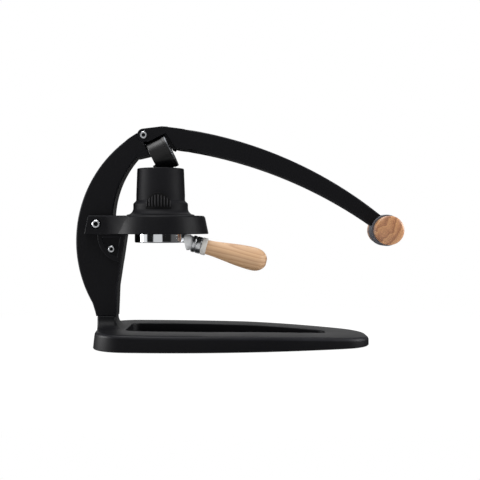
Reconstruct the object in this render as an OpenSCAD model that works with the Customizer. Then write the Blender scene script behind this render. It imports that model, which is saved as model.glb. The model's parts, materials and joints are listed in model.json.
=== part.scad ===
// Lever-press manual espresso maker: looped cast base, arched post, curved lever with a wooden
// cross-bar, round gauge in the lever head, brew cylinder in a bolted yoke and a bottomless
// portafilter. Millimetres, +Z up, the lever reaches towards +X, the table is at Z = 0.

/* [Base] */
// Rear edge of the base behind the brew axis
base_rear = 84; // [82:1:88]
// Front edge of the base ahead of the brew axis
base_front = 279; // [260:1:300]
// Half width of the base at its widest place
base_half_w = 97; // [93:1:102]
// Distance of the widest place ahead of the brew axis
base_wide_x = 25; // [15:1:35]
// Radius of the long side curves seen from above
base_side_r = 640; // [610:10:720]
// Corner radius seen from above
base_corner_r = 50; // [42:1:52]
// Height of the base at its rear edge
base_rear_h = 23; // [21:0.5:27]
// Height of the base at its front edge
base_front_h = 18.5; // [16:0.5:20]
// Rounding of the upper outer edge
base_edge_r = 2; // [1:0.5:4]
// Width of the rim round the drip opening
rim_w = 48; // [42:1:52]
// Corner radius of the drip opening
opening_corner_r = 16; // [12:1:20]
// Width of the solid land at the front
front_land = 57; // [50:1:70]
// Width of the ledge that carries the drip tray
ledge_w = 6; // [4:0.5:9]
// Height of that ledge above the table
ledge_z = 7; // [6:0.5:9]

/* [Feet] */
// Radius of a rubber foot
foot_r = 9; // [7:0.5:11]
// Height by which the feet lift the base
foot_lift = 0.5; // [0.4:0.1:1.5]
// Depth of the foot recesses in the base
foot_recess = 2; // [1:0.25:3]

/* [Drip tray] */
// Sheet thickness of the tray
tray_t = 1.2; // [0.8:0.1:2]
// Thickness of the drip grate
grate_t = 2; // [1.5:0.1:3]
// Width of a grate slot
slot_w = 5; // [4:0.5:7]
// Spacing of the grate slots
slot_pitch = 14; // [12:0.5:20]
// Radius of the finger hole in the grate
finger_r = 9; // [8:0.5:12]

/* [Post] */
// Thickness of the post across the machine
post_w = 36; // [32:1:44]
// Radius of the post's outer curve
post_outer_r = 167.5; // [166:0.5:169]
// Radius of the post's inner curve
post_inner_r = 128; // [124:1:132]
// Height of the seam between the base's stub and the post
seam_z = 38.5; // [36:0.5:44]
// Length of the stub along the machine
stub_len = 24; // [22:0.5:26]
// Fillet radius where the stub meets the base
stub_fillet = 12; // [6:0.5:14]

/* [Lever] */
// Distance of the lever pivot behind the brew axis
pivot_back = 21; // [19:0.5:23]
// Height of the lever pivot
pivot_z = 279.5; // [278.5:0.5:281]
// Radius of the eyes round the pivot
eye_r = 8.8; // [8.4:0.1:9.2]
// Radius of the pivot bolt
pivot_r = 3.5; // [3:0.1:4]
// Radius of the post's tongue round the pivot
tongue_r = 6.5; // [6.2:0.1:7]
// Thickness of each cheek of the lever fork
cheek_t = 7; // [6:0.25:8]
// Reach of the cross-bar ahead of the brew axis
handle_x = 303; // [285:1:315]
// Height of the cross-bar with the lever down
handle_z = 153; // [145:1:165]
// Radius of the lever's upper curve
lever_top_r = 550; // [500:10:640]
// Radius of the lever's lower curve
lever_low_r = 600; // [550:10:700]
// Width of the lever at its tip
lever_tip_w = 24; // [20:1:30]
// Width of the window in the lever in front of the gauge
window_w = 25; // [20:1:26]

/* [Cross-bar] */
// Radius of the metal hub at the lever's tip
hub_r = 21; // [20:0.5:23]
// Length of the hub
hub_len = 28; // [26:1:34]
// Radius of a wooden grip at its outer end
grip_r = 19.2; // [18.2:0.1:19.8]
// Radius of a wooden grip at the hub
grip_neck_r = 18; // [15:0.1:18.1]
// Length of a wooden grip
grip_len = 27; // [22:1:40]
// Radius of the rod through the hub and both grips
rod_r = 5; // [4:0.1:6]

/* [Gauge] */
// Upward tilt of the gauge's face
gauge_tilt = 26; // [24:0.5:28]
// Radius of the gauge case
case_r = 23.5; // [22.5:0.25:24]
// Depth of the gauge case
case_d = 24.5; // [22:0.5:25]
// Radius of the dial
dial_r = 20.5; // [19:0.1:20.8]
// Rim of the chrome bezel over the case
bezel_t = 0.8; // [0.6:0.1:1]
// Length of the needle from its spindle
needle_len = 15.5; // [11:0.5:17]
// Radius of the press nose under the gauge case
nose_r = 6.5; // [5.5:0.25:7]

/* [Group] */
// Underside of the yoke
yoke_z = 148; // [146:0.5:150]
// Height of the yoke
yoke_h = 24.5; // [24:0.5:28]
// Radius of the ring at its upper edge
ring_top_r = 60; // [58:0.5:62]
// Radius of the ring at its lower edge
ring_low_r = 64.5; // [63:0.5:68]
// Thickness of each yoke arm
arm_t = 10; // [8:0.5:13]
// Thickness of the lugs below the arms
lug_t = 4; // [3:0.25:6]
// Radius of the brew cylinder's bore
bore_r = 25; // [23:0.25:26]
// Outer radius of the brew cylinder at its mouth
mouth_r = 31.4; // [30:0.1:33]
// Height of the brew cylinder's mouth
mouth_z = 236; // [235:0.5:238]
// Outer radius of the brew cylinder's collar
collar_r = 36.8; // [36:0.1:37.2]
// Radius of the brew cylinder's flange on the ring
flange_r = 45.5; // [44:0.5:48]
// Half width of a ribbed grip pad
pad_half_w = 17.5; // [15:0.5:19]
// Number of grooves in a grip pad
pad_grooves = 9; // [5:1:11]

/* [Portafilter] */
// Outer radius of the portafilter head
head_r = 35; // [34.5:0.1:35.5]
// Height of the head's lower edge above the table
head_low_z = 136.5; // [135:0.5:138]
// Outer radius of the filter basket's wall
basket_r = 30.2; // [29:0.1:30.8]
// Downward tilt of the portafilter handle
grip_tilt = 14.3; // [12:0.1:15]
// Radius of the bayonet lugs
lug_reach_r = 40.5; // [39:0.1:41.5]
// Length of the wooden portafilter grip
wood_len = 83; // [70:1:95]
// Greatest radius of the wooden portafilter grip
wood_r = 15; // [13:0.1:16]

/* [Fits] */
// Clearance between pieces that move past each other
run_gap = 0.4; // [0.3:0.05:0.6]
// Radial clearance of a running shaft
shaft_gap = 0.06; // [0.03:0.01:0.1]
// Radial clearance of a seated piece
seat_gap = 0.02; // [0.01:0.01:0.05]

/* [Hidden] */
$fn = 96;

black = "#1b1b1d";
steel = "#c9cacc";
chrome = "#dcdde0";
wood = "#d9b384";

// The post's outer curve and the hub set the length, so the origin is under the middle of it.
post_c = [56, 138.5];
x_min = post_c.x - post_outer_r;
x_max = handle_x + hub_r;
x_shift = -(x_min + x_max) / 2;

// Base
base_slope = atan((base_rear_h - base_front_h) / (base_rear + base_front));
base_h0 = base_rear_h - tan(base_slope) * base_rear;
opening_rear = 44;
stub_rear = 0.8 - base_rear;
stub_front = stub_rear + stub_len;
bolt_x = stub_rear + stub_len / 2;
bolt_y = post_w / 4;
bolt_r = 4;
bolt_head_r = 6.5;
bolt_head_z = 11;
bolt_top_z = 72;

// Tray
tray_floor_z = 3;
grate_z = ledge_z + tray_t;
side_gap = 0.8;

// Pivot, gauge frame and lever
pivot = [-pivot_back, pivot_z];
ga = [cos(gauge_tilt), sin(gauge_tilt)];
gu = [sin(gauge_tilt), -cos(gauge_tilt)];
case_gap = 0.7;
back_gap = 1.2;
// Gauge centre: its case clears the post's tongue and its back lies behind the pivot line.
case_back = 13.5;
pivot_a = -10.1;
gauge_c = pivot - pivot_a * ga + (tongue_r + case_gap + case_r) * gu;
case_front = case_d - case_back;
lower_line = eye_r + 1.6;
tongue_w = post_w - 2 * cheek_t - 2 * run_gap;

lever_a = pivot + [24, 11.7];
lever_q = pivot + [42.3, -17.5];
hub = [handle_x, handle_z];
tip_top = hub + [-15.3, 26];
tip_low = hub + [-39.6, 19.3];
function arc_center(p, q, r) =
  let (m = (p + q) / 2, d = q - p, l = norm(d), n = [-d.y, d.x] / l)
  m - n * sqrt(r * r - l * l / 4);
top_c = arc_center(lever_a, tip_top, lever_top_r);
low_c = arc_center(lever_q + [-2, 0], tip_low, lever_low_r);

// Post's inner edge: curve above the yoke, shelf and waist below it
post_in = [-62.6, 165];
shelf_x = -45.6;
waist = [-56.4, 78];
function post_x(z) = post_c.x - sqrt(pow(post_outer_r, 2) - pow(z - post_c.y, 2));

// Yoke and group heights
yoke_top = yoke_z + yoke_h;
arm_in = post_w / 2 + seat_gap;
arm_out = arm_in + arm_t;
spigot_z = yoke_z + 15;
spigot_r = 38.1;
gasket_t = 2.6;
gasket_z = spigot_z - gasket_t;
lock_bore_r = head_r + run_gap;
groove_low = yoke_z + 3.7;
groove_high = groove_low + 4.6;
groove_r = lug_reach_r + 0.5;
unlock_angle = 45;
lug_half_angle = 12;
screw_r = 4;
screw_head_r = 5.8;
screw_at = [-83, yoke_z + 13.4];
lug_screw_r = 3;
lug_screw_at = [-63.4, yoke_z - 19.8];
lug_c = [-46, yoke_z - 2];
lug_r = 36;
pocket_d = 2;
pad_r = collar_r + 1.4;
pad_z = yoke_top + 8.5;
pad_h = 22;

// Portafilter
basket_t = 0.7;
rim_t = 0.9;
head_top_z = gasket_z - run_gap - rim_t;
lip_r = basket_r + 0.3;
neck_at = [head_r - 5, head_low_z + 2];
neck_len = 13;
ferrule_r = 11.4;
ferrule_len = 13;
collar_len = 7;
wood_r0 = 9.8;

// Plunger
nose_c = [0, gauge_c.y + case_r * gu.y - case_back * ga.y + 3.4];
nose_low = nose_c.y - nose_r;
button_z = nose_low - 0.35;
piston_z = spigot_z + 3;
piston_h = 12;
seal_r = 1.6;

// Extrudes a side outline drawn in X and Z over a width across the machine.
module slab(y0, y1) {
  translate([0, y1, 0])
    rotate([90, 0, 0])
      linear_extrude(y1 - y0)
        children();
}

// Does the same on both sides of the middle plane.
module both_sides() {
  children();
  mirror([0, 1, 0]) children();
}

// Local axes of the gauge: Z out of its face, X down along its face.
module in_gauge() {
  translate([gauge_c.x, 0, gauge_c.y])
    rotate([0, 90 - gauge_tilt, 0])
      children();
}

// Local axes of the portafilter handle: Z outwards along it.
module along_handle(d = 0) {
  translate([neck_at.x, 0, neck_at.y])
    rotate([0, 90 + grip_tilt, 0])
      translate([0, 0, d])
        children();
}

// Puts the brew axis at its place in the shared frame.
module place() {
  translate([x_shift, 0, 0]) children();
}

// Socket screw with its head's seat at Z = 0, the shank pointing down.
module socket_screw(shank_r, shank_len, head_r, head_h, hex_r) {
  difference() {
    union() {
      translate([0, 0, -shank_len]) cylinder(r = shank_r, h = shank_len);
      cylinder(r = head_r, h = head_h * 0.6);
      translate([0, 0, head_h * 0.6]) cylinder(r1 = head_r, r2 = head_r * 0.8, h = head_h * 0.4);
    }
    translate([0, 0, head_h * 0.45]) cylinder(r = hex_r, h = head_h, $fn = 6);
  }
}

// Outline of the base seen from above, drawn in by a distance, between two ends.
module base_plan(inset, x0, x1, corner) {
  offset(r = corner, $fn = 64)
    offset(delta = -corner)
      intersection() {
        translate([base_wide_x, base_side_r - base_half_w])
          circle(r = base_side_r - inset, $fn = 400);
        translate([base_wide_x, base_half_w - base_side_r])
          circle(r = base_side_r - inset, $fn = 400);
        translate([x0, -base_half_w])
          square([x1 - x0, 2 * base_half_w]);
      }
}

// Takes a level drawing to the sloping top of the base.
module on_slope(d) {
  translate([0, 0, base_h0])
    rotate([0, base_slope, 0])
      translate([0, 0, -d])
        children();
}

module opening_plan(inset) {
  base_plan(rim_w + inset, -opening_rear + inset, base_front - front_land - inset,
    opening_corner_r - inset / 2);
}

module base_casting() {
  color(black)
    difference() {
      union() {
        intersection() {
          hull() {
            on_slope(40)
              linear_extrude(40 - base_edge_r)
                base_plan(0, -base_rear, base_front, base_corner_r);
            on_slope(base_edge_r)
              linear_extrude(base_edge_r * 0.7)
                base_plan(base_edge_r * 0.3, -base_rear + base_edge_r * 0.3,
                  base_front - base_edge_r * 0.3, base_corner_r - 1);
            on_slope(base_edge_r * 0.3)
              linear_extrude(base_edge_r * 0.3)
                base_plan(base_edge_r, -base_rear + base_edge_r, base_front - base_edge_r,
                  base_corner_r - 3);
          }
          translate([-base_rear - 10, -base_half_w - 10, foot_lift])
            cube([base_rear + base_front + 20, 2 * base_half_w + 20, 100]);
        }
        // Stub under the post, with a fillet to the front.
        slab(-post_w / 2, post_w / 2)
          difference() {
            translate([stub_rear, foot_lift + 4])
              square([stub_len + stub_fillet, seam_z - foot_lift - 4]);
            translate([stub_front + stub_fillet, base_h0 + stub_fillet + 1])
              circle(r = stub_fillet);
            translate([stub_front, base_h0 + stub_fillet + 1])
              square([stub_fillet + 1, 60]);
          }
      }
      // Drip opening with the ledge for the tray.
      translate([0, 0, ledge_z]) linear_extrude(60) opening_plan(0);
      linear_extrude(60) opening_plan(ledge_w);
      // Bolt holes up into the post.
      both_sides()
        translate([bolt_x, bolt_y, 0]) {
          cylinder(r = bolt_r + 0.3, h = 60);
          cylinder(r = bolt_head_r + 0.5, h = bolt_head_z);
        }
      feet_at(foot_r + seat_gap, foot_lift + foot_recess);
    }
}

// The four feet, or their recesses, as plain cylinders from the table up.
module feet_at(r, h) {
  both_sides() {
    translate([-base_rear + 24, base_half_w - 42, 0]) cylinder(r = r, h = h);
    translate([base_front - 30, 15, 0]) cylinder(r = r, h = h);
  }
}

module feet() {
  color("#2a2a2a") feet_at(foot_r, foot_lift + foot_recess);
}

module drip_tray() {
  color("#3a3b3d")
    difference() {
      union() {
        translate([0, 0, ledge_z]) linear_extrude(tray_t) opening_plan(side_gap);
        translate([0, 0, tray_floor_z])
          linear_extrude(ledge_z - tray_floor_z + 0.1)
            opening_plan(ledge_w + side_gap);
      }
      translate([0, 0, tray_floor_z + tray_t])
        linear_extrude(40)
          opening_plan(ledge_w + side_gap + tray_t);
    }
}

module drip_grate() {
  slots_x0 = -opening_rear + 44;
  slots_n = floor((base_front - front_land - 60 - slots_x0) / slot_pitch);
  color("#232325")
    difference() {
      translate([0, 0, grate_z]) linear_extrude(grate_t) opening_plan(side_gap * 2);
      for (i = [0 : slots_n], s = [-1, 1]) {
        x = slots_x0 + i * slot_pitch;
        hw = base_half_w - rim_w - 16 - pow(x - base_wide_x, 2) / (2 * base_side_r);
        translate([x, s > 0 ? 5 : -hw, grate_z - 1]) {
          translate([-slot_w / 2, 0, 0]) cube([slot_w, hw - 5, grate_t + 2]);
          cylinder(r = slot_w / 2, h = grate_t + 2);
          translate([0, hw - 5, 0]) cylinder(r = slot_w / 2, h = grate_t + 2);
        }
      }
      translate([base_front - front_land - 26, 0, grate_z - 1]) cylinder(r = finger_r, h = grate_t + 2);
    }
}

// Side outline of the post before its head is shaped.
module post_outline() {
  inner_c = post_in + [post_inner_r, 0];
  intersection() {
    difference() {
      union() {
        translate(post_c) circle(r = post_outer_r);
        // The heel straightens down to the stub.
        polygon([[post_x(seam_z + 35.5), seam_z + 35.5], [stub_rear - 10.3, seam_z + 27],
          [stub_rear - 6.1, seam_z + 16], [stub_rear - 2.9, seam_z + 5.5], [stub_rear - 1.4, seam_z - 1],
          [stub_rear + 12, seam_z - 1], [stub_rear + 12, seam_z + 35.5]]);
      }
      intersection() {
        translate(inner_c) circle(r = post_inner_r);
        translate([-150, yoke_z]) square([400, 300]);
      }
      polygon([[shelf_x, yoke_z], waist, [stub_front + 1, seam_z - 1], [300, seam_z - 1], [300, yoke_z]]);
    }
    translate([-150, seam_z]) square([400, 400]);
  }
}

// Half plane on the post's side of the gauge's back.
module behind_gauge() {
  translate(gauge_c - (case_back + back_gap) * ga)
    rotate(gauge_tilt - 90)
      translate([-200, -400])
        square([400, 400]);
}

module post() {
  color(black)
    difference() {
      union() {
        slab(-post_w / 2, post_w / 2)
          difference() {
            intersection() {
              post_outline();
              behind_gauge();
            }
            translate(pivot) circle(r = eye_r + run_gap);
            // The cheeks' crown swings back over this corner.
            translate(pivot) polygon([[0, 0], [20, 35], [0, 40], [-37.6, 13.7]]);
          }
        slab(-tongue_w / 2, tongue_w / 2) {
          intersection() {
            post_outline();
            behind_gauge();
          }
          translate(pivot) circle(r = tongue_r);
        }
      }
      slab(-post_w, post_w) translate(pivot) circle(r = pivot_r + shaft_gap);
      both_sides() {
        translate([bolt_x, bolt_y, seam_z - 1]) cylinder(r = bolt_r + seat_gap, h = bolt_top_z - seam_z + 2);
        slab(post_w / 2 - 13, post_w) translate(screw_at) circle(r = screw_r + seat_gap);
        slab(post_w / 2 - 13, post_w) translate(lug_screw_at) circle(r = lug_screw_r + seat_gap);
      }
    }
}

module post_bolts() {
  color(steel)
    both_sides()
      translate([bolt_x, bolt_y, bolt_head_z])
        rotate([180, 0, 0])
          socket_screw(bolt_r, bolt_top_z - bolt_head_z, bolt_head_r, 7, 3);
}

// Right edge of the post below the yoke, as a half plane for the lug.
module left_of_edge(d) {
  polygon([[shelf_x - d, yoke_z + 1], waist - [d, 0], [-150, waist.y], [-150, yoke_z + 1]]);
}

module yoke() {
  color(black)
    difference() {
      union() {
        // Ring, wider towards its lower edge.
        rotate_extrude()
          polygon([[0, yoke_z], [ring_low_r, yoke_z], [ring_low_r - 0.3, yoke_z + 2],
            [ring_top_r, yoke_top - 2.5], [ring_top_r - 2, yoke_top], [0, yoke_top]]);
        both_sides() {
          // Arm along the post's side, with its end cut to the post's lean.
          slab(arm_in, arm_out)
            polygon([[post_x(yoke_top) + 14.7, yoke_top], [-40, yoke_top], [-40, yoke_z],
              [post_x(yoke_z) + 12.8, yoke_z]]);
          // Blend from the arm to the ring.
          translate([0, 0, yoke_z])
            linear_extrude(yoke_h)
              polygon([[-68, arm_in], [-68, arm_out], [-0.63, 0.775] * ring_top_r, [-20, 30], [-30, arm_in]]);
          // Lug that carries the lower screw.
          slab(arm_in, arm_in + lug_t)
            intersection() {
              translate(lug_c) circle(r = lug_r);
              left_of_edge(0.6);
            }
        }
      }
      // Room for the post between the arms.
      slab(-arm_in, arm_in) post_outline();
      // Pocket in the lug and the screw holes.
      both_sides() {
        slab(arm_in + lug_t - pocket_d, arm_out + 5)
          intersection() {
            translate(lug_c) circle(r = lug_r - 6);
            left_of_edge(5.5);
            translate([-150, 0]) square([300, yoke_z - 4]);
          }
        slab(0, arm_out + 5) translate(screw_at) circle(r = screw_r + 0.2);
        slab(arm_out - 4, arm_out + 5) translate(screw_at) circle(r = screw_head_r + 1);
        slab(0, arm_out + 5) translate(lug_screw_at) circle(r = lug_screw_r + 0.2);
      }
      // Bores: brew cylinder's spigot above, bayonet below.
      translate([0, 0, spigot_z]) cylinder(r = spigot_r + seat_gap, h = 40);
      translate([0, 0, yoke_z - 1]) cylinder(r = lock_bore_r, h = 40);
      translate([0, 0, groove_low]) cylinder(r = groove_r, h = groove_high - groove_low);
      for (s = [0, 180])
        rotate([0, 0, 90 - unlock_angle + s])
          intersection() {
            translate([0, 0, yoke_z - 1]) cylinder(r = groove_r, h = groove_low - yoke_z + 2);
            sector(lug_half_angle + 3, yoke_z - 1, 8);
          }
    }
}

// Wedge about +X, used to cut lugs and entry notches.
module sector(half, z, h) {
  translate([0, 0, z])
    linear_extrude(h)
      polygon([[0, 0], [80 * cos(half), -80 * sin(half)], [90, 0], [80 * cos(half), 80 * sin(half)]]);
}

module yoke_screws() {
  color(steel)
    both_sides()
      translate([screw_at.x, arm_out - 4, screw_at.y])
        rotate([-90, 0, 0])
          socket_screw(screw_r, arm_out - 4 - post_w / 2 + 12, screw_head_r, 4.6, 2.6);
}

module lug_screws() {
  color(steel)
    both_sides()
      translate([lug_screw_at.x, arm_in + lug_t - pocket_d, lug_screw_at.y])
        rotate([-90, 0, 0])
          socket_screw(lug_screw_r, lug_t - pocket_d + 12, 4.8, 3, 2);
}

// Half section of the brew cylinder's outside, grown by a distance.
module brew_half(d) {
  flare_r = flange_r - collar_r;
  difference() {
    polygon([[0, spigot_z], [spigot_r + d, spigot_z], [spigot_r + d, yoke_top], [flange_r + d, yoke_top],
      [flange_r + d, yoke_top + 1.5 + flare_r], [collar_r + d, yoke_top + 1.5 + flare_r],
      [collar_r + d, yoke_top + 16.5], [mouth_r + 1.4 + d, yoke_top + 20],
      [mouth_r + 1.4 + d, yoke_top + 28], [mouth_r + d, mouth_z], [0, mouth_z]]);
    translate([flange_r + d, yoke_top + 1.5 + flare_r]) circle(r = flare_r);
  }
}

module brew_cylinder() {
  color(black)
    difference() {
      rotate_extrude() brew_half(0);
      translate([0, 0, spigot_z - 1]) cylinder(r = bore_r, h = 200);
      translate([0, 0, mouth_z - 2.5]) cylinder(r1 = bore_r, r2 = bore_r + 2.6, h = 2.6);
    }
}

module grip_pads() {
  color("#2b2b2d")
    both_sides()
      difference() {
        intersection() {
          translate([0, 0, pad_z]) cylinder(r = pad_r, h = pad_h + 1);
          slab(10, 60) {
            translate([-pad_half_w, pad_z]) square([2 * pad_half_w, pad_h - pad_half_w]);
            intersection() {
              translate([0, pad_z + pad_h - pad_half_w]) circle(r = pad_half_w);
              translate([-pad_half_w, pad_z]) square([2 * pad_half_w, pad_h]);
            }
          }
        }
        rotate_extrude() brew_half(seat_gap);
        for (i = [0 : pad_grooves - 1])
          rotate([0, 0, 90 + (i - (pad_grooves - 1) / 2) * 48 / pad_grooves])
            translate([pad_r - 1.2, -0.7, pad_z + 2.5])
              cube([5, 1.4, pad_h]);
      }
}

module group_gasket() {
  color("#5a2d22")
    difference() {
      translate([0, 0, gasket_z]) cylinder(r = head_r, h = gasket_t);
      translate([0, 0, gasket_z - 1]) cylinder(r = bore_r + 2, h = gasket_t + 2);
    }
}

module shower_screen() {
  hole_r = 1.1;
  screen_t = 1.2;
  color(steel)
    difference() {
      translate([0, 0, spigot_z - screen_t]) cylinder(r = bore_r + 1.8, h = screen_t);
      for (ring = [0 : 3], k = [0 : max(0, 6 * ring - 1)])
        rotate([0, 0, ring == 0 ? 0 : k * 60 / ring])
          translate([ring * 5.6, 0, spigot_z - screen_t - 1])
            cylinder(r = hole_r, h = screen_t + 2, $fn = 16);
    }
}

// Side outline of the lever: eye, neck over the gauge and curved beam.
module lever_outline() {
  n1 = pivot + lower_line * gu;
  difference() {
    union() {
      translate(pivot) circle(r = eye_r);
      polygon([pivot, n1, n1 + 30 * ga, lever_a + [8, -0.4], lever_a, pivot + [0, eye_r]]);
      intersection() {
        difference() {
          translate(top_c) circle(r = lever_top_r);
          translate(low_c) circle(r = lever_low_r);
        }
        polygon([lever_a - (lever_q - lever_a), lever_a, lever_q, lever_q + (lever_q - lever_a),
          [hub.x, hub.y - 60], [hub.x, hub.y + 80], [hub.x - 60, pivot_z + 80]]);
      }
    }
    translate(hub) circle(r = hub_r + seat_gap);
  }
}

module lever_arm() {
  color(black)
    difference() {
      intersection() {
        slab(-post_w / 2, post_w / 2) lever_outline();
        translate([0, 0, -10])
          linear_extrude(600)
            polygon([[-60, -post_w / 2], [75, -post_w / 2], [handle_x, -lever_tip_w / 2],
              [handle_x, lever_tip_w / 2], [75, post_w / 2], [-60, post_w / 2]]);
      }
      // Room for the post's tongue between the cheeks.
      slab(-tongue_w / 2 - run_gap, tongue_w / 2 + run_gap) {
        translate(pivot) circle(r = eye_r + 2.2);
        translate(pivot) rotate(gauge_tilt + 180) translate([0, -30]) square([60, 60]);
      }
      in_gauge() {
        translate([0, 0, -case_back - 5]) cylinder(r = case_r + seat_gap, h = case_d + 5.02);
        translate([0, 0, bezel_skirt_z - 0.4]) cylinder(r = case_r + bezel_t + 0.4, h = 9);
        translate([-case_r - 16, 0, screw_a]) rotate([0, 90, 0]) cylinder(r = 2.7, h = 20);
        translate([-case_r - 30, 0, screw_a]) rotate([0, 90, 0]) cylinder(r = 4.9, h = 30 - screw_seat);
      }
      // Window between the rails, in front of the dial.
      translate([lever_a.x + 15 + window_w / 2, 0, pivot_z - 60]) {
        cylinder(r = window_w / 2, h = 120);
        translate([0, -window_w / 2, 0]) cube([24, window_w, 120]);
        translate([24, 0, 0]) cylinder(r = window_w / 2, h = 120);
      }
      slab(-post_w, post_w) translate(pivot) circle(r = pivot_r + seat_gap);
    }
}

// Height along the gauge's axis of the screw that holds the case.
screw_a = 2;
screw_seat = 3;
bezel_skirt_z = case_front - 3;

module pivot_bolt() {
  color(steel)
    translate([pivot.x, -post_w / 2, pivot.y])
      rotate([90, 0, 0])
        difference() {
          union() {
            translate([0, 0, -post_w]) cylinder(r = pivot_r, h = post_w);
            cylinder(r = 5.4, h = 1.6);
            translate([0, 0, -post_w - 1.6]) cylinder(r = 5.4, h = 1.6);
          }
          translate([0, 0, 0.3]) cylinder(r = 2.5, h = 3, $fn = 6);
          translate([0, 0, -post_w - 3.3]) cylinder(r = 2.5, h = 3, $fn = 6);
        }
}

module handle_hub() {
  color("#303033")
    slab(-hub_len / 2, hub_len / 2)
      translate(hub)
        difference() {
          circle(r = hub_r);
          circle(r = rod_r + seat_gap);
        }
}

module handle_rod() {
  color(steel)
    slab(-hub_len / 2 - grip_len + 12, hub_len / 2 + grip_len - 12)
      translate(hub)
        circle(r = rod_r);
}

module handle_grips() {
  color(wood)
    both_sides()
      translate([hub.x, hub_len / 2, hub.y])
        rotate([-90, 0, 0])
          difference() {
            rotate_extrude()
              difference() {
                polygon([[0, 0], [grip_neck_r - 1, 0], [grip_neck_r, 1], [grip_r, grip_len * 0.6],
                  [grip_r, grip_len - 3], [grip_r - 0.9, grip_len - 0.9], [grip_r - 3, grip_len],
                  [0, grip_len]]);
                square([rod_r + seat_gap, grip_len - 12 + seat_gap]);
              }
            translate([0, 0, -5]) cylinder(r = rod_r + seat_gap, h = 5.1);
          }
}

module gauge_case() {
  color(black)
    difference() {
      union() {
        in_gauge() translate([0, 0, -case_back]) cylinder(r = case_r, h = case_d);
        // Press nose that bears on the plunger's button.
        slab(-9, 9) {
          translate(nose_c) circle(r = nose_r);
          polygon([nose_c + [-nose_r, 0], nose_c + [nose_r, 0], nose_c + [nose_r, 0] - 14 * gu,
            nose_c + [-nose_r, 0] - 7 * gu]);
        }
      }
      in_gauge() {
        translate([0, 0, case_front - 6]) cylinder(r = dial_r + 0.2, h = 20);
        translate([-case_r - 1, 0, screw_a]) rotate([0, 90, 0]) cylinder(r = 2.5 + seat_gap, h = 9);
      }
    }
}

module gauge_screw() {
  color(steel)
    in_gauge()
      translate([-case_r - screw_seat, 0, screw_a])
        rotate([0, -90, 0])
          socket_screw(2.5, screw_seat + 8, 4.5, 4, 2);
}

module gauge_dial() {
  z0 = case_front - 6;
  color("white")
    in_gauge() {
      translate([0, 0, z0]) cylinder(r = dial_r, h = 1);
      translate([0, 0, z0 + 0.9]) cylinder(r = 0.85, h = 2.4);
      // Raised ticks round the scale.
      for (i = [0 : 8])
        rotate([0, 0, -120 + 30 * i])
          translate([-dial_r + 1, -0.4, z0 + 0.9])
            cube([3.2, 0.8, 0.3]);
    }
}

module gauge_glass() {
  color("lightblue", 0.4)
    in_gauge()
      translate([0, 0, case_front])
        cylinder(r = case_r - 1, h = 1.6);
}

module gauge_bezel() {
  color(chrome)
    in_gauge()
      rotate_extrude()
        polygon([[case_r + seat_gap, bezel_skirt_z], [case_r + bezel_t, bezel_skirt_z],
          [case_r + bezel_t, case_front + 2.4], [case_r - 0.2, case_front + 3.2],
          [dial_r - 0.4, case_front + 2.6], [dial_r - 0.4, case_front + 1.6],
          [case_r - 0.9, case_front + 1.6], [case_r - 0.9, case_front], [case_r + seat_gap, case_front]]);
}

module gauge_needle() {
  z0 = case_front - 6 + 1.35;
  color("#c23327")
    in_gauge()
      rotate([0, 0, 120])
        difference() {
          union() {
            translate([0, 0, z0]) cylinder(r = 2, h = 1.4);
            translate([0, 0, z0])
              linear_extrude(0.9)
                polygon([[5, -1.1], [5, 1.1], [-needle_len + 1, 0.5], [-needle_len, 0], [-needle_len + 1, -0.5]]);
          }
          translate([0, 0, z0 - 1]) cylinder(r = 0.85 + shaft_gap, h = 4);
        }
}

module plunger() {
  color(steel)
    rotate_extrude()
      difference() {
        polygon([[0, piston_z], [bore_r - run_gap, piston_z], [bore_r - run_gap, piston_z + piston_h],
          [9, piston_z + piston_h + 3], [6, piston_z + piston_h + 8], [6, button_z - 6],
          [11, button_z - 4], [11, button_z - 1], [10, button_z], [0, button_z]]);
        translate([bore_r - run_gap - 1.8, piston_z + 4]) square([3, 4]);
      }
}

module piston_seal() {
  color("#2a2a2a")
    rotate_extrude()
      polygon([[bore_r - run_gap - 1.8 + seat_gap, piston_z + 4.05], [bore_r - 0.6, piston_z + 4.05],
        [bore_r - shaft_gap, piston_z + 5], [bore_r - shaft_gap, piston_z + 7],
        [bore_r - 0.6, piston_z + 7.95], [bore_r - run_gap - 1.8 + seat_gap, piston_z + 7.95]]);
}

module portafilter_head() {
  color(chrome)
    difference() {
      union() {
        rotate_extrude()
          polygon([[lip_r, head_low_z], [head_r - 1, head_low_z], [head_r, head_low_z + 1],
            [head_r, head_top_z], [lip_r, head_top_z]]);
        for (s = [-90, 90])
          rotate([0, 0, s])
            intersection() {
              difference() {
                translate([0, 0, groove_low + 0.3]) cylinder(r = lug_reach_r, h = groove_high - groove_low - 0.6);
                translate([0, 0, groove_low - 1]) cylinder(r = head_r - 2, h = 9);
              }
              sector(lug_half_angle, groove_low - 1, 9);
            }
      }
      translate([0, 0, head_low_z - 1]) cylinder(r = lip_r, h = 60);
    }
}

module filter_basket() {
  floor_z = head_low_z + 0.6;
  color(steel)
    difference() {
      rotate_extrude()
        polygon([[0, floor_z], [basket_r - 1.5, floor_z], [basket_r, floor_z + 1.5], [basket_r, head_top_z],
          [head_r - 1.2, head_top_z], [head_r - 1.2, head_top_z + rim_t], [basket_r - basket_t, head_top_z + rim_t],
          [basket_r - basket_t, floor_z + 1.8], [basket_r - 1.9, floor_z + basket_t], [0, floor_z + basket_t]]);
      for (ring = [0 : 4], k = [0 : max(0, 6 * ring - 1)])
        rotate([0, 0, ring == 0 ? 0 : k * 60 / ring])
          translate([ring * 5.2, 0, floor_z - 1])
            cylinder(r = 0.9, h = 4, $fn = 16);
    }
}

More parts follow.
